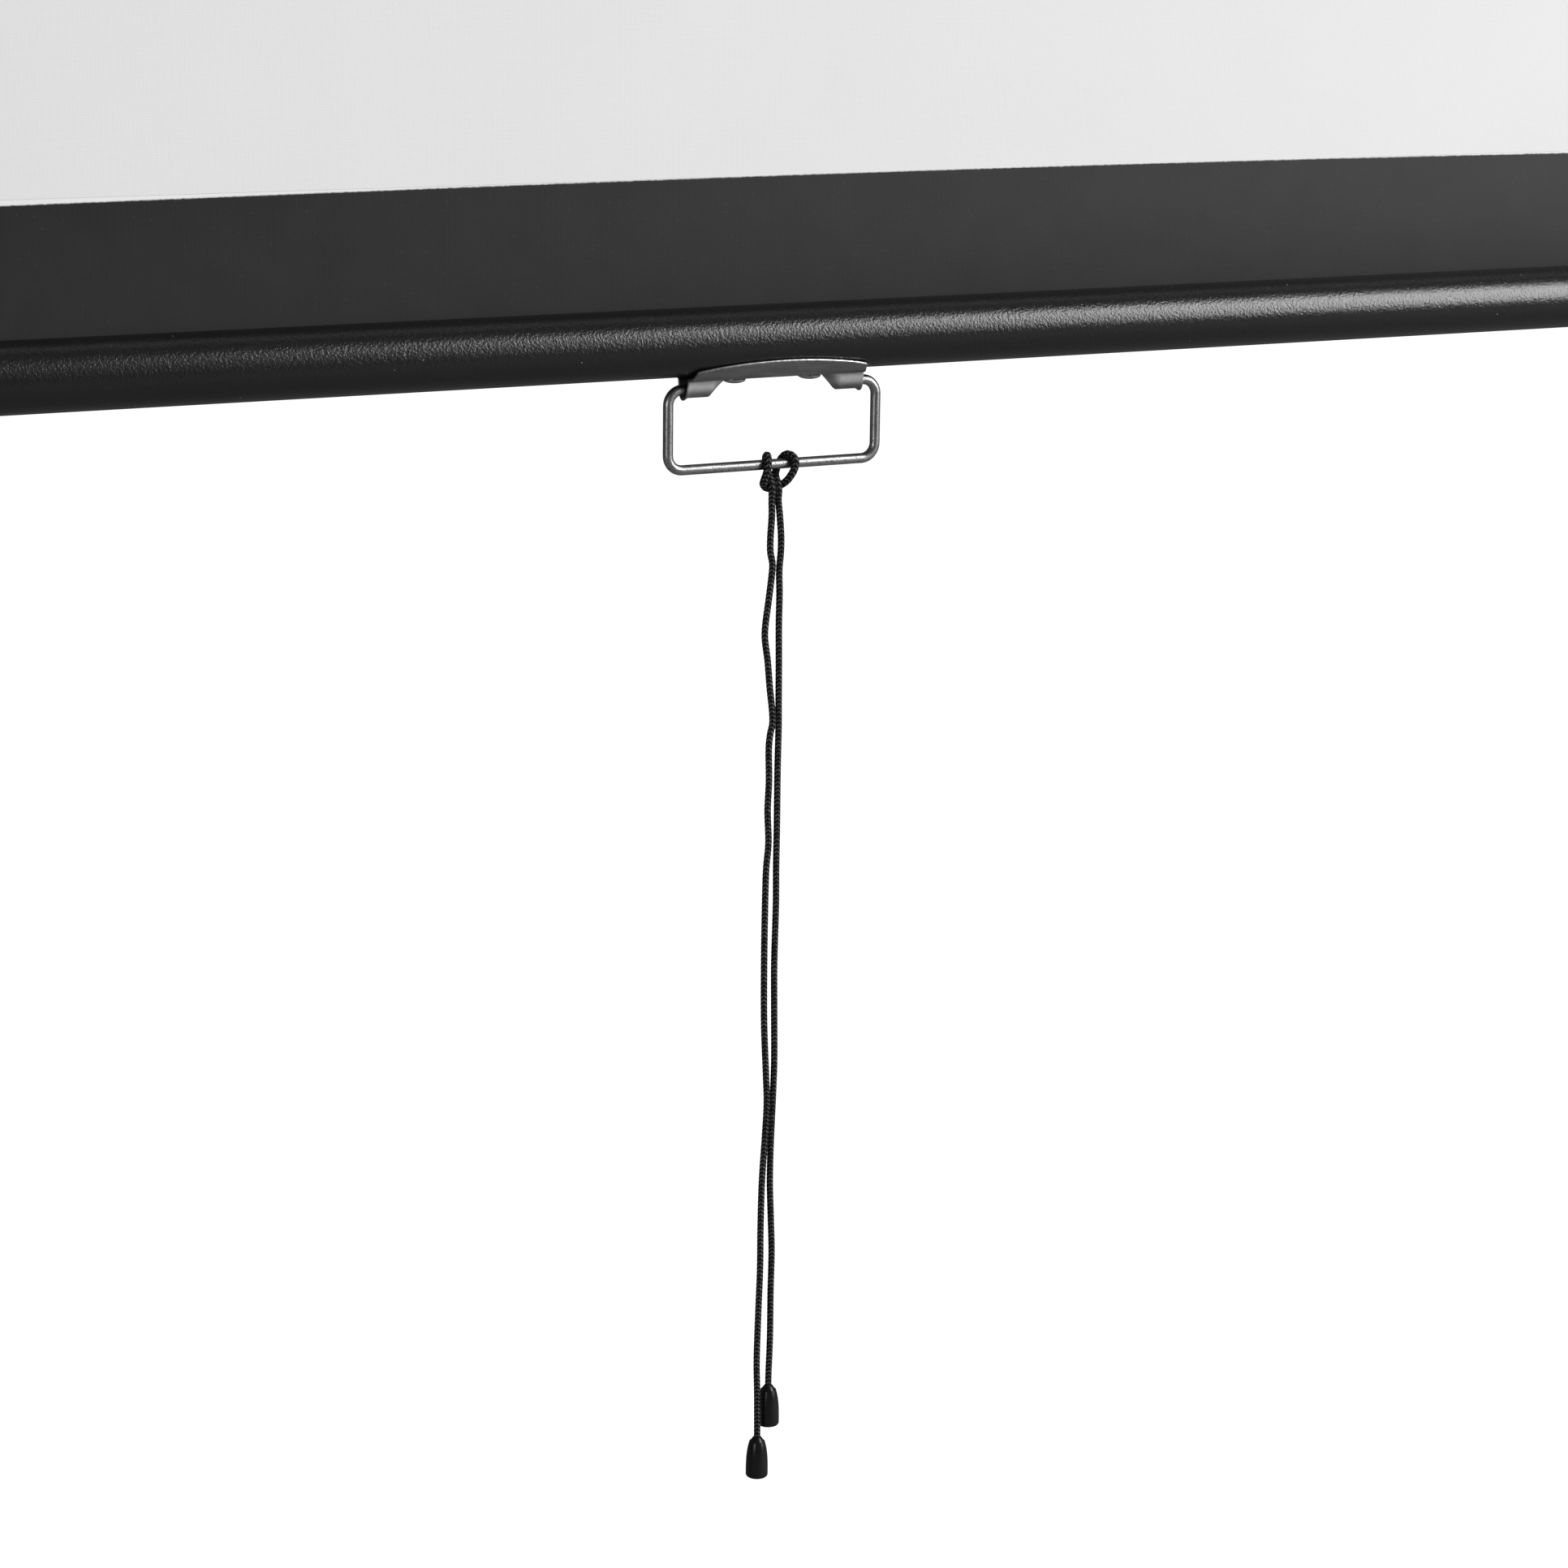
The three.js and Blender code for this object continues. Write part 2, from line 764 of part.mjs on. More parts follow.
function maskingBorder() {
  const [front, back] = [-sheetThickness / 2 - inkThickness, -sheetThickness / 2];
  const whole = block([-halfSheet, front, borderTop], [halfSheet, back, rollerRise]);
  return whole.subtract(
    block(
      [-imageWidth / 2, front - overrun, borderTop - overrun],
      [imageWidth / 2, back + overrun, caseBottom - topBorder],
    ),
  );
}

const sheet = group(
  [0, sheetY, 0],
  piece("screen_fabric", "matteWhite", screenSheet()),
  piece("masking_border", "blackInk", maskingBorder()),
);

// Weight tube and what it carries, drawn about the tube's axis
const tubeBore = tubeRadius - tubeWall;
const hemInner = hemRodRadius + gap;
const hemOuter = hemInner + sheetThickness;
const hemZ = tubeBore - gap - hemOuter;
const halfHemRod = halfSheet - hemRodShort;
const rivetPlaces = sides.map(([side, hand]) => [side, (hand * rivetSpacing) / 2]);
const plateInner = tubeRadius + gap;
const plateOuter = plateInner + plateThickness;

function bottomBorderAndHem() {
  const band = block(
    [-halfSheet, -sheetThickness / 2, hemZ + hemInner],
    [halfSheet, sheetThickness / 2, tubeRadius + bottomBorder],
  );
  const loop = barX(hemOuter, -halfSheet, halfSheet, 0, hemZ, roundSides);
  const bore = barX(hemInner, -halfSheet - overrun, halfSheet + overrun, 0, hemZ, roundSides);
  return joined(band, loop).subtract(bore);
}

function weightTube() {
  let made = barX(tubeRadius, -halfTube, halfTube, 0, 0, fineSides).subtract(
    barX(tubeBore, -halfTube - overrun, halfTube + overrun, 0, 0, fineSides),
  );
  made = made.subtract(
    block([-halfTube - overrun, -tubeSlot / 2, 0], [halfTube + overrun, tubeSlot / 2, tubeRadius]),
  );
  for (const [, x] of rivetPlaces)
    made = made.subtract(
      barZ(
        rivetRadius + gap,
        -tubeRadius - overrun,
        -tubeBore + overrun,
        bracketShift + x,
        0,
        smallSides,
      ),
    );
  return made;
}

function tubePlug(hand) {
  const face = halfTube + gap;
  const end = face + tubePlugFlange;
  const rim = tubeRadius + tubePlugProud;
  const profile = [
    [0, hand * (face + tubePlugWall / 2)],
    [tubeBore - gap - tubePlugWall, hand * (face + tubePlugWall / 2)],
    [tubeBore - gap - tubePlugWall, hand * (face - tubePlugStub)],
    [tubeBore - gap, hand * (face - tubePlugStub)],
    [tubeBore - gap, hand * face],
    [rim, hand * face],
    [rim, hand * (end - tubePlugFlange / 2)],
    [rim - tubePlugFlange / 4, hand * (end - tubePlugFlange / 8)],
    [rim - tubePlugFlange / 2, hand * end],
    [0, hand * end],
  ];
  return turnedX(profile, fineSides);
}

// Handle bracket: a pressed plate. Each section across it is a middle line, thickened both ways.
const plateRows = [-1, -0.88, -0.76, -0.66, -0.58, -0.48, -0.36, -0.25, -0.16, -0.08, 0];
const plateWidthShares = [...plateRows, ...plateRows.slice(0, -1).reverse().map((s) => -s)];

function plateMiddle(x, widthShare) {
  const endShare = Math.min(1, Math.abs(x) / (plateLength / 2));
  const halfWidth = plateLipMiddle - (plateLipMiddle - plateLipEnd) * endShare ** 2;
  const y = halfWidth * widthShare;
  const beyond = (Math.abs(y) - plateFlat) / plateBend;
  const lip = plateLipSlope * plateBend * Math.log(1 + Math.exp(beyond));
  const fromEnd = plateLength / 2 - Math.abs(x);
  const ramp = THREE.MathUtils.smoothstep(earLength + earRamp - fromEnd, 0, earRamp);
  const flare = earFlare * THREE.MathUtils.smoothstep(earFlare * 2 - fromEnd, 0, earFlare * 2);
  const arch = Math.cos((Math.PI / 2) * Math.min(1, Math.abs(y) / earFold)) ** 1.5;
  const z = lip - (earDepth * ramp + flare) * arch - (plateInner + plateOuter) / 2;
  return [x, y, z];
}

function plateStations() {
  const half = plateLength / 2;
  const starts = [0, half / 3, half - earLength - earRamp];
  const ramp = [1, 2, 3, 4].map((step) => starts[2] + (earRamp * step) / 4);
  const ends = [half - earLength / 2, half - 2 * earFlare, half - earFlare, half];
  const right = [...starts, ...ramp, ...ends];
  return [...right.slice(1).reverse().map((x) => -x), ...right];
}

function handleBracket() {
  const stations = plateStations();
  const columns = plateWidthShares.length;
  const layers = [1, -1].map((face) =>
    stations.map((x) =>
      plateWidthShares.map((share, column) => {
        const before = plateMiddle(x, plateWidthShares[Math.max(0, column - 1)]);
        const after = plateMiddle(x, plateWidthShares[Math.min(columns - 1, column + 1)]);
        const along = new THREE.Vector2(after[1] - before[1], after[2] - before[2]).normalize();
        const [, y, z] = plateMiddle(x, share);
        const offset = (face * plateThickness) / 2;
        const crown = Math.sign(x) * plateCrown * (Math.abs(x) / (plateLength / 2)) ** 8;
        return [x - crown * share ** 2, y - along.y * offset, z + along.x * offset];
      }),
    ),
  );
  const positions = layers.flat(2).flat();
  const index = (layer, row, column) => (layer * stations.length + row) * columns + column;
  const faces = [];
  const quad = (a, b, c, d) => faces.push(a, b, c, a, c, d);
  for (let row = 0; row + 1 < stations.length; row++)
    for (let column = 0; column + 1 < columns; column++) {
      const corners = (layer) => [
        index(layer, row, column),
        index(layer, row + 1, column),
        index(layer, row + 1, column + 1),
        index(layer, row, column + 1),
      ];
      quad(...corners(0));
      quad(...corners(1).reverse());
    }
  for (let row = 0; row + 1 < stations.length; row++) {
    quad(index(1, row, 0), index(1, row + 1, 0), index(0, row + 1, 0), index(0, row, 0));
    const far = columns - 1;
    quad(index(0, row, far), index(0, row + 1, far), index(1, row + 1, far), index(1, row, far));
  }
  for (let column = 0; column + 1 < columns; column++) {
    const end = stations.length - 1;
    quad(
      index(1, 0, column + 1),
      index(1, 0, column),
      index(0, 0, column),
      index(0, 0, column + 1),
    );
    quad(
      index(1, end, column),
      index(1, end, column + 1),
      index(0, end, column + 1),
      index(0, end, column),
    );
  }
  const geometry = new THREE.BufferGeometry();
  geometry.setAttribute("position", new THREE.Float32BufferAttribute(positions, 3));
  geometry.setIndex(faces);
  let made = solid(geometry);
  for (const [, x] of rivetPlaces)
    made = made.subtract(
      barZ(rivetRadius + gap, -plateOuter - overrun, -plateInner + overrun, x, 0, smallSides),
    );
  return made;
}

function rivet() {
  const under = -plateOuter - gap;
  const tail = gap - Math.sqrt(tubeBore ** 2 - rivetTail ** 2);
  const low = under - rivetHeadHeight;
  return turnedZ([
    [0, low],
    [rivetHeadRadius / 2, low],
    [rivetHeadRadius - rivetHeadHeight / 4, low + rivetHeadHeight / 2],
    [rivetHeadRadius, under],
    [rivetRadius, under],
    [rivetRadius, tail],
    [rivetTail, tail],
    [rivetTail, tail + rivetTailHeight],
    [0, tail + rivetTailHeight],
  ]);
}

// Bail: wire from inside one ear, down, across and up into the other, drawn about its pivot
function bailWire() {
  const leg = bailWidth / 2 - wireRadius;
  const wireEnd = plateLength / 2 - bailEnd;
  const corner = (x, z, from) =>
    Array.from({ length: bendSteps + 1 }, (_, step) => {
      const turn = from + (Math.PI / 2) * (step / bendSteps);
      return [x + bailBend * Math.cos(turn), 0, z + bailBend * Math.sin(turn)];
    });
  const inset = leg - bailBend;
  const half = [
    ...corner(-inset, -bailBend, Math.PI / 2),
    ...corner(-inset, bailBend - bailDrop, Math.PI),
  ];
  const mirrored = half.map(([x, y, z]) => [-x, y, z]).reverse();
  return tube([[-wireEnd, 0, 0], ...half, ...mirrored, [wireEnd, 0, 0]], wireRadius, smallSides);
}

// Cord, drawn about the middle of the bail's grip. Its routes are lists of points.
const hitchRoute = [
  [-0.5, -0.9, -12.5],
  [-0.6, -1.2, -10.0],
  [-0.7, -1.0, -7.6],
  [-0.7, 0.5, -5.1],
  [-0.7, 2.5, -2.6],
  [-0.9, 3.3, 0.2],
  [-1.5, 2.2, 2.5],
  [-2.2, -0.2, 3.3],
  [-3.0, -2.3, 2.3],
  [-3.6, -3.3, -0.1],
  [-3.9, -2.9, -2.8],
  [-4.1, -1.7, -5.1],
  [-3.5, 0.2, -7.1],
  [-1.6, 1.9, -8.7],
  [1.0, 2.5, -9.2],
  [3.3, 1.8, -8.5],
  [5.0, -0.4, -6.9],
  [6.3, -2.3, -4.4],
  [7.4, -3.2, -1.5],
  [7.8, -2.9, 1.5],
  [6.9, -0.6, 3.2],
  [6.0, 1.8, 2.7],
  [4.9, 3.2, 0.7],
  [3.6, 3.2, -1.8],
  [2.3, 2.0, -4.1],
  [1.9, 0.0, -6.2],
  [2.0, -1.1, -8.5],
  [2.2, -0.9, -10.7],
  [2.5, -0.4, -13.0],
];

const leftRoute = [
  [-0.5, -0.8, -12.9],
  [-0.3, -0.6, -18.7],
  [-0.8, -0.6, -27.6],
  [-0.7, -0.6, -32.1],
  [0.2, -0.6, -36.7],
  [-0.1, -0.6, -41.0],
  [-1.2, -0.6, -49.9],
  [-2.4, -0.6, -58.8],
  [-2.6, -0.6, -63.3],
  [-1.3, -0.6, -72.5],
  [-0.4, -0.6, -81.6],
  [1.0, -0.6, -95.3],
  [0.1, -0.6, -99.8],
  [-0.4, -0.6, -104.4],
  [-0.2, -0.6, -118.0],
  [-0.6, -0.6, -128.6],
  [-0.1, -0.6, -141.1],
  [-0.9, -0.6, -150.5],
  [-1.2, -0.6, -164.1],
  [-1.3, -0.6, -187.4],
  [-1.0, -0.6, -210.4],
  [0.0, -0.6, -230.0],
  [0.5, -0.6, -241.3],
  [-0.2, -0.7, -255.2],
  [-1.3, -0.9, -271.2],
  [-1.8, -1.1, -290.1],
  [-1.9, -1.3, -306.1],
  [-2.6, -1.5, -325.8],
  [-3.1, -1.7, -344.0],
  [-2.8, -1.8, -356.0],
  [-2.6, -1.8, -370.9],
  [-2.6, -1.8, -376.9],
];

const rightRoute = [
  [2.5, -0.3, -13.4],
  [3.5, 0.3, -19.4],
  [4.3, 0.6, -27.6],
  [4.2, 0.6, -32.9],
  [3.7, 0.6, -38.9],
  [3.9, 0.6, -47.9],
  [3.8, 0.6, -58.9],
  [4.0, 0.6, -74.0],
  [4.1, 0.6, -88.0],
  [4.2, 0.6, -97.0],
  [4.0, 0.6, -113.0],
  [4.0, 0.6, -136.0],
  [3.9, 0.6, -150.8],
  [4.0, 0.6, -164.7],
  [3.6, 0.6, -188.1],
  [3.8, 0.6, -204.1],
  [4.1, 0.6, -225.9],
  [3.9, 0.7, -236.2],
  [3.4, 0.8, -251.2],
  [3.1, 0.9, -263.2],
  [3.1, 1.0, -273.8],
  [3.8, 1.2, -288.2],
  [4.4, 1.4, -301.2],
  [4.3, 1.6, -317.3],
  [4.3, 1.7, -336.8],
  [3.9, 1.8, -352.3],
  [3.9, 1.8, -358.3],
];

const tipTop = (route) => {
  const [x, y, z] = route[route.length - 1];
  return [x, y, z + tipRoof + gap];
};

// Cord end: a bell with a small domed neck, hollow below for the knot
function cordTip() {
  const hole = cordRadius + tipHoleRoom;
  const shoulder = [0, 0.16, 0.5, 1];
  const swell = shoulder.map((share) => [
    tipRadius - (tipRadius - tipNeck - tipRim / 2) * (1 - share) ** 2.5,
    -tipNeckLength - (tipLength - tipNeckLength - tipRim) * share,
  ]);
  return turnedZ(
    [
      [hole, 0],
      [(hole + tipNeck) / 2, -tipNeckLength / 6],
      [tipNeck, -tipNeckLength],
      ...swell,
      [tipRadius - tipRim, -tipLength],
      [tipCavity, -tipLength],
      [tipCavity, tipCavity - hole - tipRoof - tipNeckLength],
      [hole, -tipRoof],
    ],
    roundSides,
  );
}

function cordKnot() {
  return new THREE.SphereGeometry(knotRadius, smallSides, smallSides / 2);
}

function pullCord() {
  const strands = [
    ["left", "lower", leftRoute],
    ["right", "upper", rightRoute],
  ];
  const made = [piece("cord_hitch", "blackCord", tube(hitchRoute, cordRadius, cordSides))];
  for (const [side, level, route] of strands) {
    const [x, y, z] = route[route.length - 1];
    const tip = piece(`cord_tip_${level}`, "blackPlastic", cordTip());
    tip.position.set(...tipTop(route));
    const knot = piece(`cord_knot_${level}`, "blackCord", cordKnot());
    knot.position.set(x, y, z - gap - knotRadius);
    made.push(
      piece(`cord_strand_${side}`, "blackCord", tube(route, cordRadius, cordSides)),
      tip,
      knot,
    );
  }
  return made;
}

const bail = group(
  [0, 0, -tubeRadius - bailPivot],
  piece("bail_handle", "platedWire", bailWire()),
  group([0, 0, -bailDrop], ...pullCord()),
);

const bottomBar = group(
  [0, sheetY, tubeZ],
  piece("bottom_border", "blackInk", bottomBorderAndHem()),
  piece("hem_rod", "rollerSteel", barX(hemRodRadius, -halfHemRod, halfHemRod, 0, hemZ)),
  piece("weight_tube", "blackCoat", weightTube()),
  ...sides.map(([side, hand]) => piece(`tube_plug_${side}`, "blackPlastic", tubePlug(hand))),
  group(
    [bracketShift, 0, 0],
    piece("handle_bracket", "zincSteel", handleBracket()),
    ...rivetPlaces.map(([side, x]) => {
      const made = piece(`handle_rivet_${side}`, "platedWire", rivet());
      made.position.x = x;
      return made;
    }),
  ),
  bail,
);

const screen = new THREE.Group();
screen.add(casing, rollerSupports, roller, sheet, bottomBar);

export default screen;
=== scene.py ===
"""Pull down projector screen, open: the finish of every surface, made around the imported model.

Everything is in metres, in the model's own frame. +X runs to the viewer's right, +Z is up, the viewer
stands at -Y, and the origin is the middle of the casing's flat back.
"""

import math

import bmesh
import bpy
import numpy as np
from mathutils import Matrix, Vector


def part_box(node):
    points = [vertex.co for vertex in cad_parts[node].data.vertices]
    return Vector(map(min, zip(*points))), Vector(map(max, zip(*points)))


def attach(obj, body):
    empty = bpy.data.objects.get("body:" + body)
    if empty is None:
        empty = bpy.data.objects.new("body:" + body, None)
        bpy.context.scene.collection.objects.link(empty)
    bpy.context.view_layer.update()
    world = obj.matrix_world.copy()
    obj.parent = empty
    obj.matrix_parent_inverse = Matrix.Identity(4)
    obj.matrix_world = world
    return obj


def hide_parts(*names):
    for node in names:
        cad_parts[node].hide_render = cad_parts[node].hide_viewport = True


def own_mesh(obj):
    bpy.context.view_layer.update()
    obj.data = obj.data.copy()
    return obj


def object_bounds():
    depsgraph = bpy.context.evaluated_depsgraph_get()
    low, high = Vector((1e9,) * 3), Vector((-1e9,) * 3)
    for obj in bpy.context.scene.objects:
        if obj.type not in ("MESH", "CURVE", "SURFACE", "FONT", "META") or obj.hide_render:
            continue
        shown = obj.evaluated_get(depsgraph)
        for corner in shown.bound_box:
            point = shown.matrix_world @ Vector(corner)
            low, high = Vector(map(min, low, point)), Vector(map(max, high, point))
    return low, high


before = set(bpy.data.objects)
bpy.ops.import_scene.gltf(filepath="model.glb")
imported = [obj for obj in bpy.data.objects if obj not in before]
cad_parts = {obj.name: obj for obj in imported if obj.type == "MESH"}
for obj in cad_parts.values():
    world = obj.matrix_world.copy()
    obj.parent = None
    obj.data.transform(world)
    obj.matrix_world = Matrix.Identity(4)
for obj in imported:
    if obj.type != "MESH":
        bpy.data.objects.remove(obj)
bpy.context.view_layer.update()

scene = bpy.context.scene
scene.view_settings.view_transform = "Standard"
whole_turn = 2 * math.pi
quarter_turn = math.pi / 2

# Camera
picture_pixels = 1932
focal_pixels = 5000
sensor_width = 36.0  # millimetres
camera_place = np.array([-0.685, -1.298, -0.8915])
camera_yaw = math.radians(28.34)
camera_pitch = math.radians(13.185)
camera_roll = math.radians(0.73)

# Meshes
merge_distance = 1e-7
flat_angle = 0.2  # in degrees, as is every value whose name ends in angle
edge_angle = 40
curve_samples = 24
fit_gap = 0.0003  # between pieces that are put together

# Hanging sheet
sheet_width = 1.3
sheet_thickness = 0.0005
sheet_setback = 0.016
sheet_columns = 130
sheet_rows = 150
image_width = 1.22
top_border = 0.06
ink_proud = 0.0001
mask_softness = 0.0004
border_line = 0.0002  # the printed edge's highest place, above the cloth's white length
border_bow = 0.0036  # how far the printed edge falls to each side of there
border_bow_middle = 0.1
border_bow_reach = 0.7
rag_length = 0.0016  # of the printed edge's raggedness
rag_height = 0.0005
wave_depth = 0.0012
wave_length = 0.47
wave_level = 0.5  # the waves' middle, as a share of their depth
waves = [(0.3, 1, 0.35, 0), (0.2, 0.43, -0.2, 1)]  # shares, rates along X and Z, phases
top_fade = 0.2  # of the sheet's height, where the waves fade out
bottom_fade = 0.25
cloth_roughness = 0.88
print_roughness = 0.5
cloth_shine = 0.14
cloth_thread = 0.0009
cloth_relief = 0.00003
backing_thread = 0.0011
backing_relief = 0.00006

# Casing
case_wall = 0.001
case_slot = 0.016
case_lip = 0.005
case_front_radius = 0.016
case_back_radius = 0.003
case_bend_steps = 18
case_stations = 25
lip_radius = 0.0009
cap_rim_depth = 0.0123

# Roller and spring
wrap_inner = 0.0178
wrap_turns = 2
wrap_pitch = 0.0005
wrap_steps = 96
wrap_stations = 9
roller_radius = 0.0175
roller_wall = 0.001
roller_softness = 0.00025
roller_sides = 96
spring_radius = 0.0122
spring_wire = 0.0016
spring_turns = 22
spring_steps = 28
spring_sides = 12

# Weight tube
tube_wall = 0.0012
tube_slot = 0.003
tube_steps = 120
tube_stations = 67
bottom_border = 0.045
border_stations = 27
hem_rod_radius = 0.003
hem_open_angle = 28  # to each side of straight up
hem_steps = 40
plug_flange = 0.003
plug_proud = 0.0005
plug_stub = 0.009
plug_wall = 0.002
plug_round = 0.0014
plug_sides = 96

# Handle bracket
plate_thickness = 0.0009
plate_length = 0.072
plate_flat = 0.0066
plate_lip_middle = 0.0112
plate_lip_end = 0.0089
plate_lip_slope = 1.34
plate_bend = 0.0006
plate_crown = 0.0018
plate_crown_power = 8
plate_edge = 0.0003
plate_thinning = 0.45  # of its thickness, at its cut ends
plate_samples = 4001
plate_columns = 110
plate_stations = 181
plate_fineness = 4
ear_depth = 0.0064
ear_fold = 0.0039
ear_round = 2.2
ear_length = 0.010
ear_ramp = 0.0054
ear_flare = 0.0009
# A painted highlight on the plate's cut edges, from this share across outwards
edge_highlight_share = 0.4935  # from the middle, as a share of the way across
edge_highlight_softness = 0.004
# A painted highlight half way down each ear, placed by this value and the next two
ear_highlight_drop = 0.45  # of the ear's depth, as are the next two
ear_highlight_reach = 0.22
ear_highlight_softness = 0.3
# Painted shade in the fold above each ear, placed by this value and the next
fold_shade_reach = 0.0004
fold_shade_softness = 0.0006
bracket_shift = -0.0007  # its middle from the tube's middle
rivet_spacing = 0.0306
rivet_radius = 0.002
rivet_head_radius = 0.0042
rivet_head_height = 0.0017
rivet_head_rim = 0.0003
rivet_tail = 0.003
rivet_tail_height = 0.0014
rivet_tail_rim = 0.7  # of its height
rivet_tail_top = 0.8  # of its radius
rivet_sides = 48

# Wire bail
wire_radius = 0.00185
wire_end_share = 0.8  # of its radius, at its cut ends
wire_sides = 32
bail_width = 0.0882
bail_drop = 0.0289
bail_pivot = 0.0045
bail_bend = 0.0055
bail_bend_steps = 20
bail_end = 0.0084

# Pull cord
cord_radius = 0.0012
cord_step = 0.00025
cord_sides = 36
braid_columns = 6
braid_pitch = 0.00155
braid_slant = 0.34
braid_relief = 0.00014
braid_arch = 0.8  # of a quarter turn, from the middle of a stitch to its side
tip_length = 0.0166
tip_radius = 0.00425
tip_neck = 0.00265
tip_top = 0.0006  # the dome's top, below the solid's
tip_dome = 0.0016
tip_dome_bend = 1.15
tip_hole = 0.0015
tip_cavity = 0.0029
tip_roof = 0.0034
tip_cavity_top = 0.0045
tip_rim = 0.0011
tip_ledge = 0.00035  # how far the bell stands out past the neck
tip_ease = 0.00025
tip_swell = 3.2
tip_sides = 64
hitch_swell = 0.14  # of the cord's radius, where it is tied
hitch_swell_reach = 0.004
knot_radius = 0.0023
knot_relief = 0.0004
knot_strands = 3
knot_slant = 2
knot_sides = 48
knot_rows = 32

# Room and lamps
ambient = 0.335
studio_gloss = 0.09
floor_drop = 0.8
floor_half = 30
floor_grey = 0.25
floor_glow = 0.8  # near the object; 1 far from it
floor_near = 0.6
floor_far = 1.8
lamps = {
    "key": {"place": (3.4, -3.14, 0.55), "target": (0, 0, -1.1), "size": (1.68, 3.36), "power": 245},
    "fill": {"place": (-3.1, -1.9, -0.9), "target": (0, 0, -1.4), "size": (0.45, 0.75), "power": 17},
}

# Pull cord's routes, from the middle of the bail's grip
hitch_route = [
    (-0.0005, -0.0009, -0.0125), (-0.0006, -0.0012, -0.0100), (-0.0007, -0.0010, -0.0076),
    (-0.0007, 0.0005, -0.0051), (-0.0007, 0.0025, -0.0026), (-0.0009, 0.0033, 0.0002),
    (-0.0015, 0.0022, 0.0025), (-0.0022, -0.0002, 0.0033), (-0.0030, -0.0023, 0.0023),
    (-0.0036, -0.0033, -0.0001), (-0.0039, -0.0029, -0.0028), (-0.0041, -0.0017, -0.0051),
    (-0.0035, 0.0002, -0.0071), (-0.0016, 0.0019, -0.0087), (0.0010, 0.0025, -0.0092),
    (0.0033, 0.0018, -0.0085), (0.0050, -0.0004, -0.0069), (0.0063, -0.0023, -0.0044),
    (0.0074, -0.0032, -0.0015), (0.0078, -0.0029, 0.0015), (0.0069, -0.0006, 0.0032),
    (0.0060, 0.0018, 0.0027), (0.0049, 0.0032, 0.0007), (0.0036, 0.0032, -0.0018),
    (0.0023, 0.0020, -0.0041), (0.0019, 0.0000, -0.0062), (0.0020, -0.0011, -0.0085),
    (0.0022, -0.0009, -0.0107), (0.0025, -0.0004, -0.0130),
]

left_route = [
    (-0.0005, -0.0008, -0.0129), (-0.0003, -0.0006, -0.0187), (-0.0008, -0.0006, -0.0276),
    (-0.0007, -0.0006, -0.0321), (0.0002, -0.0006, -0.0367), (-0.0001, -0.0006, -0.0410),
    (-0.0012, -0.0006, -0.0499), (-0.0024, -0.0006, -0.0588), (-0.0026, -0.0006, -0.0633),
    (-0.0013, -0.0006, -0.0725), (-0.0004, -0.0006, -0.0816), (0.0010, -0.0006, -0.0953),
    (0.0001, -0.0006, -0.0998), (-0.0004, -0.0006, -0.1044), (-0.0002, -0.0006, -0.1180),
    (-0.0006, -0.0006, -0.1286), (-0.0001, -0.0006, -0.1411), (-0.0009, -0.0006, -0.1505),
    (-0.0012, -0.0006, -0.1641), (-0.0013, -0.0006, -0.1874), (-0.0010, -0.0006, -0.2104),
    (0.0000, -0.0006, -0.2300), (0.0005, -0.0006, -0.2413), (-0.0002, -0.0007, -0.2552),
    (-0.0013, -0.0009, -0.2712), (-0.0018, -0.0011, -0.2901), (-0.0019, -0.0013, -0.3061),
    (-0.0026, -0.0015, -0.3258), (-0.0031, -0.0017, -0.3440), (-0.0028, -0.0018, -0.3560),
    (-0.0026, -0.0018, -0.3709), (-0.0026, -0.0018, -0.3769),
]

right_route = [
    (0.0025, -0.0003, -0.0134), (0.0035, 0.0003, -0.0194), (0.0043, 0.0006, -0.0276),
    (0.0042, 0.0006, -0.0329), (0.0037, 0.0006, -0.0389), (0.0039, 0.0006, -0.0479),
    (0.0038, 0.0006, -0.0589), (0.0040, 0.0006, -0.0740), (0.0041, 0.0006, -0.0880),
    (0.0042, 0.0006, -0.0970), (0.0040, 0.0006, -0.1130), (0.0040, 0.0006, -0.1360),
    (0.0039, 0.0006, -0.1508), (0.0040, 0.0006, -0.1647), (0.0036, 0.0006, -0.1881),
    (0.0038, 0.0006, -0.2041), (0.0041, 0.0006, -0.2259), (0.0039, 0.0007, -0.2362),
    (0.0034, 0.0008, -0.2512), (0.0031, 0.0009, -0.2632), (0.0031, 0.0010, -0.2738),
    (0.0038, 0.0012, -0.2882), (0.0044, 0.0014, -0.3012), (0.0043, 0.0016, -0.3173),
    (0.0043, 0.0017, -0.3368), (0.0039, 0.0018, -0.3523), (0.0039, 0.0018, -0.3583),
]


def box(name):
    """A solid's lowest and highest corner."""
    return np.array(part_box(name))


tube_low, tube_high = box("weight_tube")
tube_radius = (tube_high[1] - tube_low[1]) / 2
tube_half = tube_high[0]
tube_y = (tube_high[1] + tube_low[1]) / 2
tube_z = tube_low[2] + tube_radius
tube_centre = np.array([0, tube_y, tube_z])
case_low, case_high = box("casing_shell")
wrap_low, wrap_high = box("roller_wrap")
roller_y, roller_z = (wrap_low[1:] + wrap_high[1:]) / 2
sheet_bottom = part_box("screen_fabric")[0][2]
grip = tube_centre - (0, 0, tube_radius + bail_pivot + bail_drop)


def smooth_step(value, width):
    """0 up to a value of 0 and 1 from the width on, with a cubic between that is level at both."""
    share = np.clip(value / width, 0, 1)
    return share**2 * (3 - 2 * share)


def linked(name, data):
    """An object with this data, in the scene."""
    made = bpy.data.objects.new(name, data)
    scene.collection.objects.link(made)
    return made


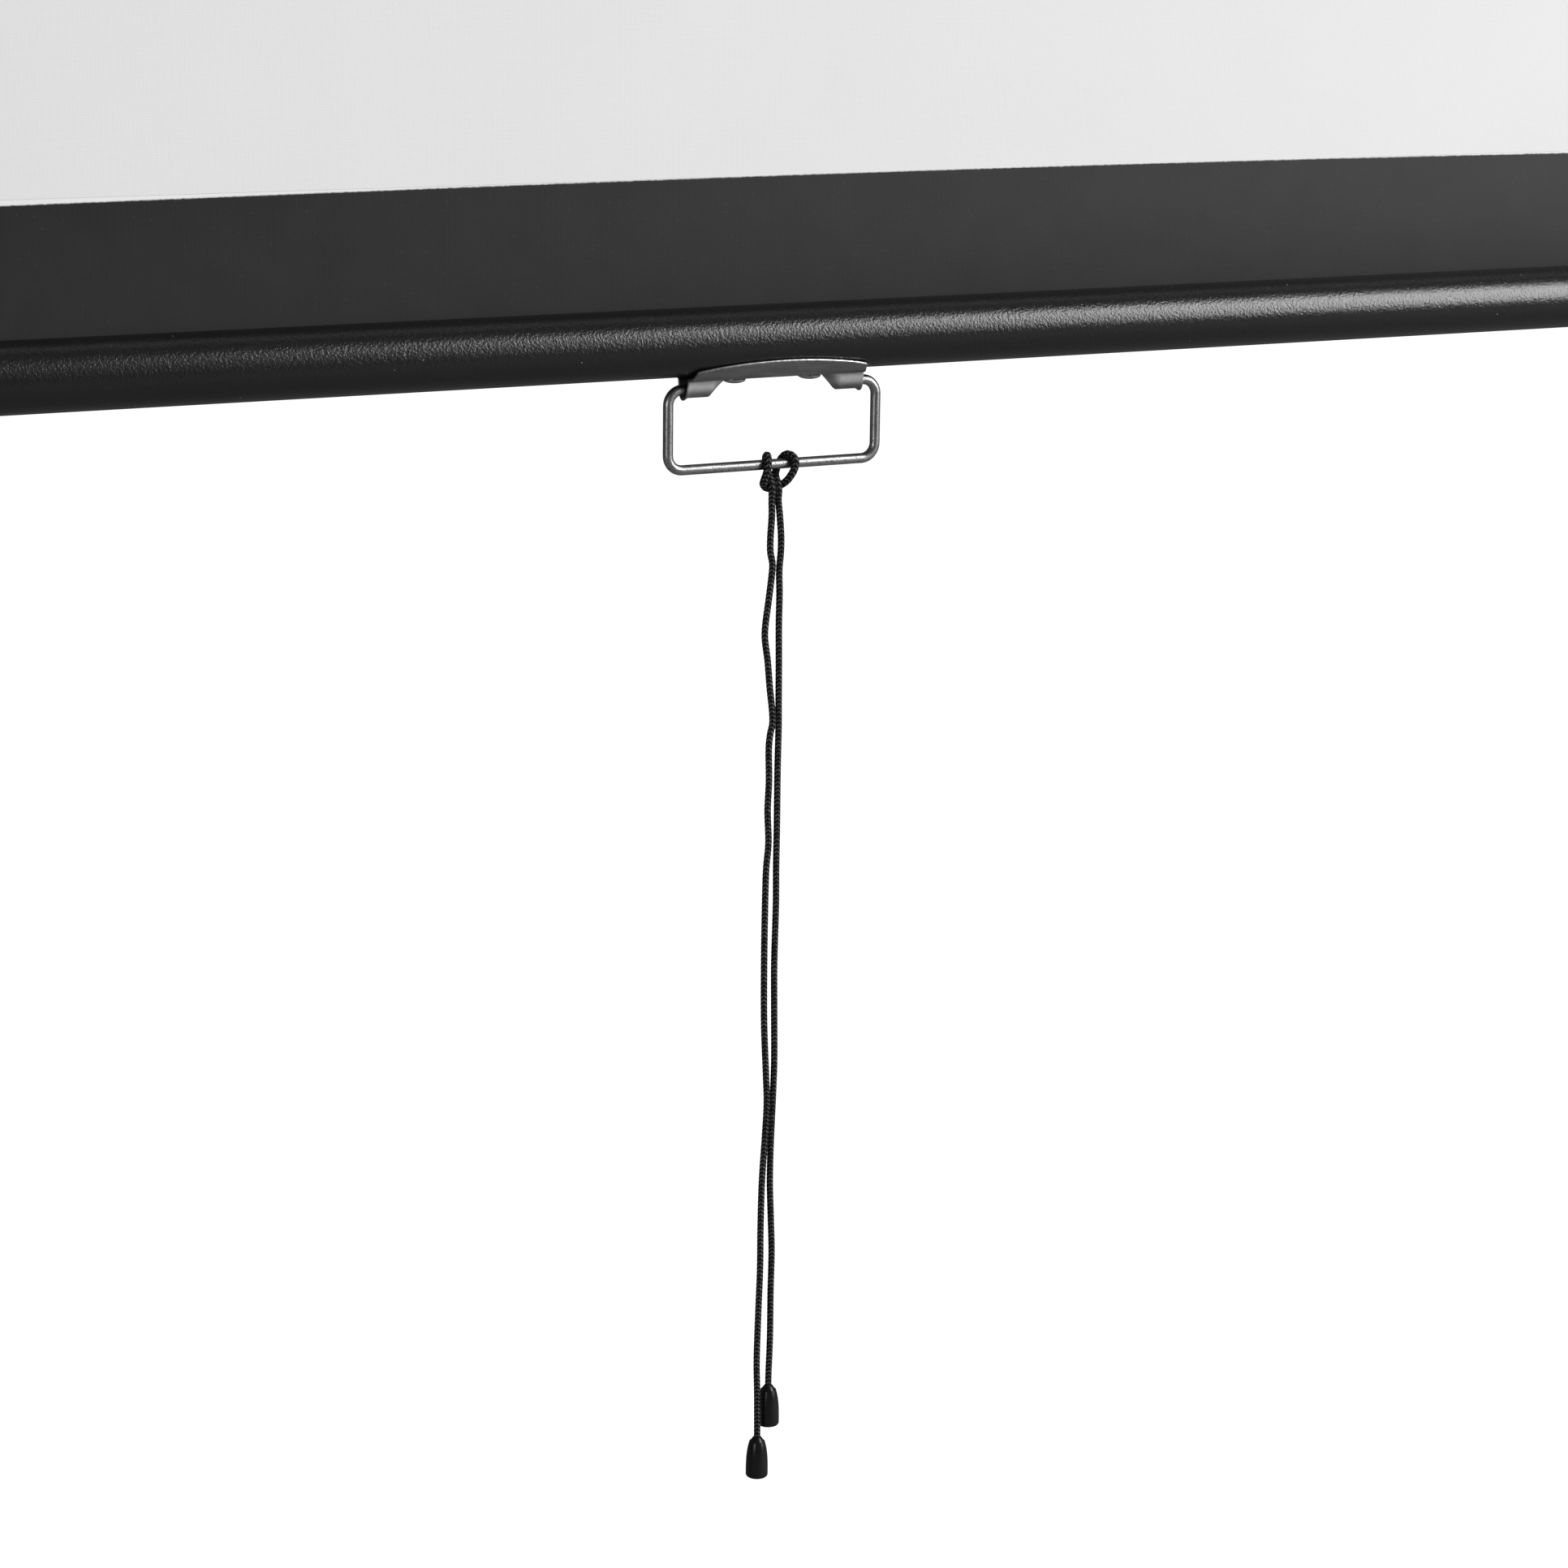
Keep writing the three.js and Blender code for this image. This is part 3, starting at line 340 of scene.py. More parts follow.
def stand(name, data, axes, place):
    """Puts a camera or a lamp at its place, with its own X, Y and Z along the axes."""
    made = linked(name, data)
    matrix = np.eye(4)
    matrix[:3] = np.column_stack([*axes, place])
    made.matrix_world = Matrix(matrix)
    return made


# Camera, at the photograph's viewing angle
def make_camera():
    """Looks ahead along the yaw and pitch, with the picture's right and up turned by the roll."""
    level, fall = math.cos(camera_pitch), math.sin(camera_pitch)
    ahead = np.array([math.sin(camera_yaw) * level, math.cos(camera_yaw) * level, -fall])
    right = np.array([math.cos(camera_yaw), -math.sin(camera_yaw), 0])
    up = np.cross(right, ahead)
    along, across = math.cos(camera_roll), math.sin(camera_roll)
    axes = [along * right + across * up, along * up - across * right, -ahead]
    data = bpy.data.cameras.new("camera")
    data.sensor_width = sensor_width
    data.lens = focal_pixels * sensor_width / picture_pixels
    scene.camera = stand("camera", data, axes, camera_place)


# Shader maths
def reckoned(operation, swapped=False):
    """A method that adds a Math node, with its own value last where the operands are swapped."""

    def method(self, *others):
        return self.maths(operation, *((*others, self) if swapped else (self, *others)))

    return method


class Value:
    """A shader socket that adds Math nodes as Python reckons with it."""

    def __init__(self, nodes, socket):
        self.nodes = nodes
        self.socket = socket

    def maths(self, operation, *values, clamp=False):
        settings = {"operation": operation, "use_clamp": clamp}
        return self.nodes.node("Math", settings, dict(enumerate(values)))

    __add__ = reckoned("ADD")
    __radd__ = reckoned("ADD", swapped=True)
    __sub__ = reckoned("SUBTRACT")
    __rsub__ = reckoned("SUBTRACT", swapped=True)
    __mul__ = reckoned("MULTIPLY")
    __rmul__ = reckoned("MULTIPLY", swapped=True)
    __pow__ = reckoned("POWER")
    __abs__ = reckoned("ABSOLUTE")
    greater = reckoned("MAXIMUM")
    lesser = reckoned("MINIMUM")
    fraction = reckoned("FRACT")
    sine = reckoned("SINE")

    def above(self, edge, softness):
        """0 below the edge and 1 above it, with a straight ramp as wide as the softness between."""
        return self.maths("MULTIPLY", (self - edge) + softness / 2, 1 / softness, clamp=True)


class Nodes:
    """The node tree of a material or a world: a shader that feeds the surface, and what feeds it."""

    def __init__(self, owner, shader, output):
        owner.use_nodes = True
        self.tree = owner.node_tree
        self.tree.nodes.clear()
        self.shader = self.tree.nodes.new(f"ShaderNode{shader}")
        end = self.tree.nodes.new(f"ShaderNodeOutput{output}")
        self.tree.links.new(self.shader.outputs[0], end.inputs["Surface"])

    def node(self, kind, settings, inputs, output=0):
        """Adds a node: its settings first, then a value or a link for each socket named or numbered."""
        made = self.tree.nodes.new(f"ShaderNode{kind}")
        for setting, value in settings.items():
            setattr(made, setting, value)
        for place, value in inputs.items():
            self.join(made.inputs[place], value)
        return Value(self, made.outputs[output])

    def join(self, socket, value):
        """Links a shader value to the socket, or sets the socket to a plain one."""
        if isinstance(value, Value):
            self.tree.links.new(value.socket, socket)
        else:
            socket.default_value = value

    def feed(self, **inputs):
        """Sets or links the shader's sockets, named with _ for each space."""
        for name, value in inputs.items():
            self.join(self.shader.inputs[name.replace("_", " ")], value)

    def ray(self, kind):
        """1 for rays of a kind, such as Camera, and 0 for others."""
        return self.node("LightPath", {}, {}, output=f"Is {kind} Ray")


def shade(level):
    """An opaque grey."""
    return (level, level, level, 1)


class Finish(Nodes):
    """A material: a Principled shader with fixed values, and nodes that vary it over the surface."""

    def __init__(self, name, **fixed):
        self.material = bpy.data.materials.new(name)
        super().__init__(self.material, "BsdfPrincipled", "Material")
        self.feed(**fixed)

    def places(self, source="Object"):
        """The surface's own places: Object coordinates in metres, or the piece's UV."""
        return self.node("TexCoord", {}, {}, output=source)

    def axes(self, places):
        """The X, the Y and the Z of the places."""
        split = self.node("SeparateXYZ", {}, {0: places}).socket.node
        return [Value(self, socket) for socket in split.outputs]

    def plane(self, x, y):
        """Places with an X and a Y, and a Z of zero."""
        return self.node("CombineXYZ", {}, {"X": x, "Y": y, "Z": 0.0})

    def stretched(self, places, x):
        """The places with X multiplied, so that a pattern is drawn out along it."""
        return self.node("VectorMath", {"operation": "MULTIPLY"}, {0: places, 1: (x, 1, 1)})

    def noise(self, places, size, detail=2.0, roughness=0.5):
        """Smooth noise from 0 to 1 whose blotches are about as wide as the size, in metres."""
        inputs = {"Vector": places, "Scale": 1 / size, "Detail": detail, "Roughness": roughness}
        return self.node("TexNoise", {}, inputs)

    def spots(self, places, size, reach, softness):
        """1 within the reach of scattered points and 0 away from them, in cells of about the size."""
        cells = self.node("TexVoronoi", {}, {"Vector": places, "Scale": 1 / size})
        return 1 - cells.above(reach, softness)

    def blend(self, first, second, share):
        """A colour between two colours."""
        return self.node("Mix", {"data_type": "RGBA"}, {0: share, 6: first, 7: second}, output=2)

    def grey(self, dark, light, share):
        """A colour between two greys."""
        return self.blend(shade(dark), shade(light), share)

    def made(self, colour, roughness, height, depth, strength):
        """Feeds the shader and gives the material. A height of 1 stands for the depth in metres."""
        inputs = {"Height": height, "Distance": depth, "Strength": strength}
        self.feed(Base_Color=colour, Roughness=roughness, Normal=self.node("Bump", {}, inputs))
        return self.material


# Finishes
def weave(x, z, thread):
    """Threads: the product of a sine across and a sine up, each half a wave to a thread."""
    return abs((x * (math.pi / thread)).sine() * (z * (math.pi / thread)).sine())


def below_line(finish, places):
    """1 below the bottom band's printed edge and 0 above it.

    The edge falls to each side of its highest place as a cosine does, and is ragged by noise.
    """
    x, z, _ = finish.axes(places)
    ragged = (finish.noise(places, rag_length, 3.0) - 0.5) * rag_height
    turn = (x - border_bow_middle) * (math.pi / border_bow_reach) + quarter_turn
    line = sheet_bottom + border_line + (turn.sine() - 1) * (border_bow / 2)
    return 1 - (z + ragged - line).above(0, rag_height)


def printed_black(finish, places):
    """The masking's ink: a very dark grey with broad faint blotches and a few paler specks.

    A painted light makes it paler towards the weight tube.
    """
    _, z, _ = finish.axes(places)
    blotches = finish.noise(places, 0.018, 3.0)
    specks = finish.spots(places, 0.0035, 0.1, 0.06)
    # painted light: the ink is painted paler towards the weight tube
    tube_side_painted_light = 1 - z.above(sheet_bottom - bottom_border / 2, bottom_border)
    ink = finish.grey(0.011, 0.030, blotches * 0.4 + tube_side_painted_light * 0.6)
    return finish.blend(ink, shade(0.06), specks * 0.25)


def printed_cloth(finish, places, mask, weave_strength):
    """White cloth, very faintly cloudy, with ink on the mask, on both sides and below the line."""
    x, z, _ = finish.axes(places)
    sides = abs(x).above(image_width / 2, mask_softness)
    inked = mask.greater(sides).greater(below_line(finish, places))
    white = finish.grey(0.80, 0.83, finish.noise(places, 0.06))
    colour = finish.blend(white, printed_black(finish, places), inked)
    roughness = cloth_roughness + inked * (print_roughness - cloth_roughness)
    return finish.made(colour, roughness, weave(x, z, cloth_thread), cloth_relief, weave_strength)


def screen_cloth():
    """Matte white coated cloth, a fine weave under its coat, with the masking printed on its front."""
    finish = Finish("screen_cloth", Specular_IOR_Level=cloth_shine)
    places = finish.places("UV")
    _, z, _ = finish.axes(places)
    top = z.above(case_low[2] - top_border, mask_softness)
    return printed_cloth(finish, places, top, 0.5)


def black_print():
    """The masking on the lowest band's front, the weave just showing through it, and a black back."""
    finish = Finish("black_print", Specular_IOR_Level=cloth_shine)
    x, y, z = finish.axes(finish.places())
    back = y.above(-sheet_setback, mask_softness / 2)
    return printed_cloth(finish, finish.plane(x, z), back, 0.4)


def cloth_back():
    """The cloth's black backing: an even weave."""
    finish = Finish("cloth_back", Specular_IOR_Level=0.3)
    places = finish.places("UV")
    x, z, _ = finish.axes(places)
    black = finish.grey(0.016, 0.026, finish.noise(places, 0.05))
    return finish.made(black, 0.8, weave(x, z, backing_thread), backing_relief, 0.6)


def wrinkle_coat():
    """Black powder coat: fine close wrinkles, a little sheen, and here and there a pale speck."""
    finish = Finish("wrinkle_coat", Specular_IOR_Level=0.5)
    places = finish.places()
    wrinkles = finish.noise(places, 0.001, 2.0, 0.6)
    specks = finish.spots(places, 0.008, 0.03, 0.02)
    black = finish.grey(0.006, 0.009, finish.noise(places, 0.03))
    colour = finish.blend(black, shade(0.25), specks)
    return finish.made(colour, 0.23 + wrinkles * 0.06, wrinkles, 0.00016, 1.0)


def pressed_plate():
    """The bracket's zinc plated sheet, with faint smears along it.

    Its UV runs from 0 to 1 across the plate. Its cut edges carry a painted highlight in places, its
    ears a painted highlight half way down, and painted shade lies in the fold above each ear.
    """
    finish = Finish("pressed_plate", Metallic=1.0)
    places = finish.places()
    x, _, z = finish.axes(places)
    across, _, _ = finish.axes(finish.places("UV"))
    crystals = finish.noise(places, 0.0016, 3.0, 0.6)
    smears = finish.noise(finish.stretched(places, 0.2), 0.0022, 3.0)
    # patches where the cut edges' painted highlight is full
    edge_highlight_patches = finish.noise(places, 0.0014).above(0.5, 0.2)
    # painted highlight on the cut edges
    edge = abs(across - 0.5).above(edge_highlight_share, edge_highlight_softness) * (edge_highlight_patches * 0.8 + 0.2)
    ear_start = plate_length / 2 - ear_length - ear_ramp / 2
    ear = abs(x - bracket_shift).above(ear_start, ear_ramp)
    fold = tube_z - tube_radius - plate_thickness
    # painted highlight half way down each ear
    from_ear_highlight = abs(z - fold + ear_depth * ear_highlight_drop)
    painted_ear_highlight = ear * (1 - from_ear_highlight.above(ear_depth * ear_highlight_reach, ear_depth * ear_highlight_softness))
    # painted shade in the fold above each ear
    painted_fold_shade = ear * (1 - abs(z - fold).above(fold_shade_reach, fold_shade_softness))
    grey = finish.grey(0.14, 0.44, crystals * 0.3 + smears * 0.7)
    # the painted ear highlight goes on over the plate's grey
    grey = finish.blend(grey, shade(0.85), painted_ear_highlight * (0.6 + crystals * 0.4))
    # the painted fold shade goes on
    grey = finish.blend(grey, shade(0.1), painted_fold_shade * 0.7)
    # the painted edge highlight goes on last
    grey = finish.blend(grey, shade(0.6), edge)
    return finish.made(grey, 0.32 + smears * 0.2 - edge * 0.1, crystals, 0.00004, 0.5)


def plated_wire():
    """Bright plated wire: faint drawing lines along it, small dull pits. Its UV is in metres along."""
    finish = Finish("plated_wire", Metallic=1.0)
    around, along, _ = finish.axes(finish.places("UV"))
    lines = finish.noise(finish.plane(around * 0.02, along * 0.06), 0.0006, 3.0, 0.6)
    places = finish.places()
    pits = finish.spots(places, 0.0012, 0.26, 0.18)
    tarnish = finish.noise(places, 0.006)
    bright = finish.grey(0.2, 0.58, lines * 0.6 + tarnish * 0.4)
    colour = finish.blend(bright, shade(0.06), pits * 0.75)
    roughness = 0.26 + lines * 0.14 + pits * 0.15
    return finish.made(colour, roughness, lines - pits * 0.5, 0.00005, 0.7)


def natural_nylon():
    """Nylon: milky, with a soft skin and faint flow clouds."""
    depths = (0.003, 0.003, 0.002)
    finish = Finish(
        "natural_nylon", Subsurface_Weight=0.15, Subsurface_Radius=depths, Subsurface_Scale=0.3
    )
    clouds = finish.noise(finish.places(), 0.008, 3.0)
    colour = finish.blend((0.60, 0.58, 0.50, 1), (0.68, 0.66, 0.58, 1), clouds)
    return finish.made(colour, 0.4 + clouds * 0.14, clouds, 0.00006, 0.4)


def zinc_steel():
    """Dull zinc plated sheet: crystals of uneven grey, and broader smudges."""
    finish = Finish("zinc_steel", Metallic=1.0)
    places = finish.places()
    crystals = finish.noise(places, 0.0022, 3.0, 0.6)
    smudges = finish.noise(places, 0.011)
    grey = finish.grey(0.26, 0.44, crystals * 0.5 + smudges * 0.5)
    return finish.made(grey, 0.34 + smudges * 0.2, crystals, 0.00004, 0.5)


def rivet_steel():
    """Plated rivet: a soft even shine with small marks from the press."""
    finish = Finish("rivet_steel", Metallic=1.0)
    marks = finish.noise(finish.places(), 0.0012, 3.0)
    return finish.made(finish.grey(0.34, 0.6, marks), 0.14 + marks * 0.14, marks, 0.00005, 0.5)


def drawn_steel(name, dark, light):
    """Drawn steel: fine lines along X under a thin film of oil."""
    finish = Finish(name, Metallic=1.0)
    places = finish.places()
    lines = finish.noise(finish.stretched(places, 0.04), 0.0006, 3.0)
    clouds = finish.noise(places, 0.02)
    grey = finish.grey(dark, light, lines * 0.6 + clouds * 0.4)
    return finish.made(grey, 0.3 + lines * 0.16, lines, 0.00002, 0.4)


def powder_coat():
    """The casing's satin white powder coat, with the low dimples of such a coat."""
    finish = Finish("powder_coat", Specular_IOR_Level=0.5)
    places = finish.places()
    dimples = finish.noise(places, 0.0016, 1.0)
    white = finish.grey(0.74, 0.79, finish.noise(places, 0.09))
    return finish.made(white, 0.38 + dimples * 0.1, dimples, 0.00005, 0.5)


def moulded_white():
    """The end caps' white plastic: a fine spark eroded grain."""
    finish = Finish("moulded_white", Specular_IOR_Level=0.45)
    places = finish.places()
    grain = finish.noise(places, 0.0007, 3.0)
    white = finish.grey(0.68, 0.73, finish.noise(places, 0.03))
    return finish.made(white, 0.44 + grain * 0.14, grain, 0.00004, 0.5)


def black_plastic():
    """Satin black moulded plastic, with faint clouds in its sheen."""
    finish = Finish("black_plastic", Specular_IOR_Level=0.34)
    places = finish.places()
    clouds = finish.noise(places, 0.004, 3.0)
    grain = finish.noise(places, 0.0004)
    black = finish.grey(0.005, 0.009, clouds)
    return finish.made(black, 0.22 + clouds * 0.12, grain, 0.00002, 0.5)


def black_braid():
    """Braided cord. Its UV counts columns of stitches round it and stitches along it.

    A stitch rises and falls once along, and slants one way in even columns and the other in odd ones.
    Its crown carries a painted glint near the middle of the stitch, by an amount that differs between
    stitches, and the dips between stitches are painted a touch darker, a painted shade.
    """
    finish = Finish("black_braid", Specular_IOR_Level=0.12)
    column, stitch, _ = finish.axes(finish.places("UV"))
    across = column.fraction() * 2 - 1
    hand = (column * 0.5).fraction().above(0.5, 0.001) * 2 - 1
    rise = abs(((stitch + across * hand * braid_slant) * math.pi).sine())
    crown = rise**6.0 * (1 - abs(across) ** 1.5)
    luck = finish.noise(finish.plane(column, stitch), 1.6).above(0.5, 0.3)
    yarn = finish.noise(finish.places(), 0.0003, 3.0)
    # painted glint on the crown of each stitch
    painted_glint = crown * (0.25 + luck * 0.75) * (0.5 + yarn * 0.6)
    # painted shade: the grey is darker in the dips between stitches
    colour = finish.blend(finish.grey(0.003, 0.007, rise), shade(0.3), painted_glint)
    return finish.made(colour, 0.7 + yarn * 0.2, yarn, 0.00005, 0.6)


# Meshes
def closed_quads(stations, count):
    """Quads between each ring and the next, all the way round each ring."""
    here = np.arange(stations * count).reshape(stations, count)
    beside = np.roll(here, -1, axis=1)
    return np.stack([here[:-1], here[1:], beside[1:], beside[:-1]], axis=-1).reshape(-1, 4)


def ladder_quads(count, first):
    """Rungs across one ring, from each place to its partner counted back from the ring's end."""
    rise = np.arange(count // 2 - 1)
    return first + np.stack([rise, rise + 1, count - 2 - rise, count - 1 - rise], axis=-1)


def smoothed(source, mesh, sharp_angle, whole=False):
    """Puts a source into a mesh: doubles merged, turned outwards, and smooth but for its sharp edges.

    Where whole is set, the facets of each flat face become one.
    """
    shell = bmesh.new()
    shell.from_mesh(source)
    bmesh.ops.remove_doubles(shell, verts=shell.verts, dist=merge_distance)
    if whole:
        limits = {"angle_limit": math.radians(flat_angle), "delimit": {"NORMAL"}}
        bmesh.ops.dissolve_limit(shell, verts=shell.verts, edges=shell.edges, **limits)
    if shell.calc_volume(signed=True) < 0:
        bmesh.ops.reverse_faces(shell, faces=shell.faces)
    shell.to_mesh(mesh)
    shell.free()
    mesh.shade_smooth()
    mesh.set_sharp_from_angle(angle=math.radians(sharp_angle))
    return mesh


def finished_mesh(points, quads, places, parts=None, sharp_angle=38):
    """Puts points, quads, each quad corner's UV and each quad's place in the finishes into a mesh."""
    mesh = bpy.data.meshes.new("skin")
    mesh.vertices.add(len(points))
    mesh.vertices.foreach_set("co", points.astype(np.float32).ravel())
    mesh.loops.add(quads.size)
    mesh.loops.foreach_set("vertex_index", quads.astype(np.int32).ravel())
    mesh.polygons.add(len(quads))
    mesh.polygons.foreach_set("loop_start", np.arange(0, quads.size, 4, dtype=np.int32))
    if parts is not None:
        mesh.polygons.foreach_set("material_index", parts.astype(np.int32))
    layer = mesh.uv_layers.new(name="UV")
    layer.uv.foreach_set("vector", places.astype(np.float32).ravel())
    mesh.update(calc_edges=True)
    return smoothed(mesh, mesh, sharp_angle)


def loft(rings, along, around, ends=True, **settings):
    """A closed skin through rings of points, stations by places, with ladders across its two ends.

    The UV of a place is its share around and its station along, as given: around has one more value
    than the ring has places, for the seam.
    """
    stations, count = rings.shape[:2]
    quads = closed_quads(stations, count)
    station = np.repeat(np.arange(stations - 1), count)
    place = np.tile(np.arange(count), stations - 1)
    corners = [(station, place), (station + 1, place), (station + 1, place + 1), (station, place + 1)]
    places = np.stack([np.stack([around[p], along[s]], axis=-1) for s, p in corners], axis=1)
    if ends:
        for first in (0, (stations - 1) * count):
            rungs = ladder_quads(count, first)
            rungs = rungs[:, ::-1] if first else rungs
            quads = np.concatenate([quads, rungs])
            local = np.stack([around[rungs % count], along[rungs // count]], axis=-1)
            places = np.concatenate([places, local])
    return finished_mesh(rings.reshape(-1, 3), quads, places, **settings)


def travelled(path):
    """The distance along a path to each of its points."""
    return np.concatenate([[0], np.cumsum(np.linalg.norm(np.diff(path, axis=0), axis=1))])


def round_about(ring):
    """The distance round a ring to each of its places, and back to the first."""
    return travelled(np.concatenate([ring, ring[:1]]))


def drawn_along_x(ring, stations, end_ring=None):
    """A (y, z) ring carried along X to each station. Its UV is in metres, round the ring and along.

    Where an end ring is given, it takes the ring's place at the first two stations and the last two.
    """
    rings = np.empty((len(stations), len(ring), 3))
    rings[..., 0] = stations[:, None]
    rings[..., 1:] = ring
    if end_ring is not None:
        rings[[0, 1, -2, -1], :, 1:] = end_ring
    return loft(rings, stations, round_about(ring))


def turned(profile, centre, axis, sides, **settings):
    """A closed profile of (radius, place along the axis), turned about an axis through the centre."""
    turn = np.linspace(0, whole_turn, sides + 1)
    radius, along = np.asarray(profile).T
    rings = np.empty((sides + 1, len(profile), 3))
    first, second = [(1, 2), (2, 0), (0, 1)][axis]
    rings[..., axis] = along
    rings[..., first] = np.cos(turn)[:, None] * radius
    rings[..., second] = np.sin(turn)[:, None] * radius
    around = round_about(np.asarray(profile))
    return loft(rings + centre, turn / whole_turn, around, ends=False, **settings)


def arc(centre, radius, first, last, steps):
    """Points on a circle from one angle to another, in degrees."""
    turn = np.radians(np.linspace(first, last, steps + 1))
    return np.asarray(centre) + radius * np.stack([np.cos(turn), np.sin(turn)], axis=-1)


def rounded_path(corners, radii, steps):
    """A line through corners, each inner corner replaced by an arc that touches both of its sides."""
    corners = [np.asarray(corner, float) for corner in corners]
    made = [corners[0][None]]
    for before, corner, after, radius in zip(corners, corners[1:], corners[2:], radii):
        inward = (corner - before) / np.linalg.norm(corner - before)
        outward = (after - corner) / np.linalg.norm(after - corner)
        bend = math.acos(float(np.clip(inward @ outward, -1, 1)))
        side = outward - (outward @ inward) * inward
        side /= np.linalg.norm(side)
        start = corner - inward * radius * math.tan(bend / 2)
        turn = np.linspace(0, bend, steps + 1)[:, None]
        made.append(start + radius * (np.sin(turn) * inward + (1 - np.cos(turn)) * side))
    made.append(corners[-1][None])
    return np.concatenate(made)


def thickened(line, thickness, end_steps):
    """A (y, z) line given a thickness: moved half of it to each side, with its ends half round."""
    along = np.gradient(line, axis=0)
    along /= np.linalg.norm(along, axis=1, keepdims=True)
    side = np.stack([-along[:, 1], along[:, 0]], axis=-1) * thickness / 2
    turn = (np.arange(end_steps)[:, None] + 1) * math.pi / (end_steps + 1)
    last = line[-1] + side[-1] * np.cos(turn) + along[-1] * thickness / 2 * np.sin(turn)
    first = line[0] - side[0] * np.cos(turn) - along[0] * thickness / 2 * np.sin(turn)
    half = end_steps // 2
    return np.concatenate([first[half:], line + side, last, (line - side)[::-1], first[:half]])


def frames_along(path):
    """Two square directions at each point of a path, turned no more than it bends between points."""
    ahead = np.gradient(path, axis=0)
    ahead /= np.linalg.norm(ahead, axis=1, keepdims=True)
    side = np.cross(ahead[0], (0.0, 1.0, 0.0))
    sides = []
    for direction in ahead:
        side = side - (side @ direction) * direction
        side /= np.linalg.norm(side)
        sides.append(side)
    sides = np.array(sides)
    return sides, np.cross(ahead, sides)


def carried(path, radius, count):
    """Rings round a path: each point goes out from it along its two square directions by the radius."""
    turn = np.arange(count) * whole_turn / count
    sides, ups = frames_along(path)
    out = sides[:, None] * np.cos(turn)[:, None] + ups[:, None] * np.sin(turn)[:, None]
    return path[:, None] + out * np.broadcast_to(radius, (len(path), count))[..., None]


def spread(path, count):
    """The path again, as a number of points an equal way apart."""
    run = travelled(path)
    spots = np.linspace(0, run[-1], count)
    return np.stack([np.interp(spots, run, axis) for axis in path.T], axis=-1)


def evenly(path, step):
    """The path again, with its points about a step apart, and the distance to each."""
    length = travelled(path)[-1]
    count = round(length / step) + 1
    return spread(path, count), np.linspace(0, length, count)


def smooth_path(points):
    """A centripetal Catmull-Rom curve: each point's slope comes from its two spans, each divided by the
    square root of its length, and a cubic joins each point to the next."""
    padded = np.concatenate([[2 * points[0] - points[1]], points, [2 * points[-1] - points[-2]]])
    span = np.sqrt(np.linalg.norm(np.diff(padded, axis=0), axis=1))[:, None]
    step = np.diff(padded, axis=0)
    both = (padded[2:] - padded[:-2]) / (span[:-1] + span[1:])
    slope = step[:-1] / span[:-1] - both + step[1:] / span[1:]
    inner = span[1:-1][:, None]
    share = (np.arange(curve_samples) / curve_samples)[:, None]
    start, end = points[:-1, None], points[1:, None]
    leave, reach = slope[:-1, None] * inner, slope[1:, None] * inner
    square, cube = share**2, share**3
    curve = start * (2 * cube - 3 * square + 1) + end * (3 * square - 2 * cube)
    curve = curve + leave * (cube - 2 * square + share) + reach * (cube - square)
    return np.concatenate([curve.reshape(-1, 3), points[-1:]])


def placed(name, mesh, body, slot, finishes, *nodes):
    """Makes the piece, gives it its finishes, hangs it on its body, and hides the solids it replaces.
    """
    mesh.name = name
    piece = linked(name, mesh)
    for finish in finishes:
        mesh.materials.append(finish)
    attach(piece, body)
    if nodes:
        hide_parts(*nodes)
    return piece


# Pull cord
def whole_cord():
    """The cord's middle line from the lower tip up round the bail and down to the upper tip.

    It is evenly stepped. With it come the two places along it where the strands leave the hitch.
    """
    route = [*left_route[::-1], *hitch_route[1:-1], *right_route]
    path = smooth_path(np.array(route) + grip)
    run = travelled(path)
    first, second = (curve_samples * (len(strand) - 1) for strand in (left_route, right_route))
    even, spots = evenly(path, cord_step)
    return even, spots, [int(np.argmin(abs(spots - leave))) for leave in (run[first], run[-1 - second])]


def braid_radius(spots, first, second):
    """The cord's radius by station and by place round it, fuller between the hitch's two ends.

    Round the cord run columns of stitches. A stitch stands up as the root of a sine along the cord, and
    as part of a half cosine across its column. It slants one way in even columns and the other in odd.
    """
    column = np.arange(cord_sides) * braid_columns / cord_sides
    across = (column % 1) * 2 - 1
    hand = np.where(column % 2 < 1, -1, 1)
    stitch = spots[:, None] / braid_pitch + across * hand * braid_slant
    rise = np.sqrt(abs(np.sin(math.pi * stitch))) * np.cos(across * quarter_turn * braid_arch)
    inside = np.minimum(spots - spots[first], spots[second] - spots)
    swell = 1 + hitch_swell * smooth_step(inside, hitch_swell_reach)
    return cord_radius * swell[:, None] + braid_relief * (rise - 0.5)


def make_cord(finish):
    """The cord in three lengths that meet end to end: two hanging strands, and the hitch between."""
    path, spots, (first, second) = whole_cord()
    rings = carried(path, braid_radius(spots, first, second), cord_sides)
    around = np.arange(cord_sides + 1) * braid_columns / cord_sides
    lengths = {
        "cord_strand_left": slice(0, first + 1),
        "cord_hitch": slice(first, second + 1),
        "cord_strand_right": slice(second, None),
    }
    made = {}
    for name, part in lengths.items():
        mesh = loft(rings[part], spots[part] / braid_pitch, around, sharp_angle=75)
        made[name] = placed(f"braided_{name}", mesh, "pull_cord", "cord_black", [finish], name)
    return made, path[: first + 1][::-1], path[second:]


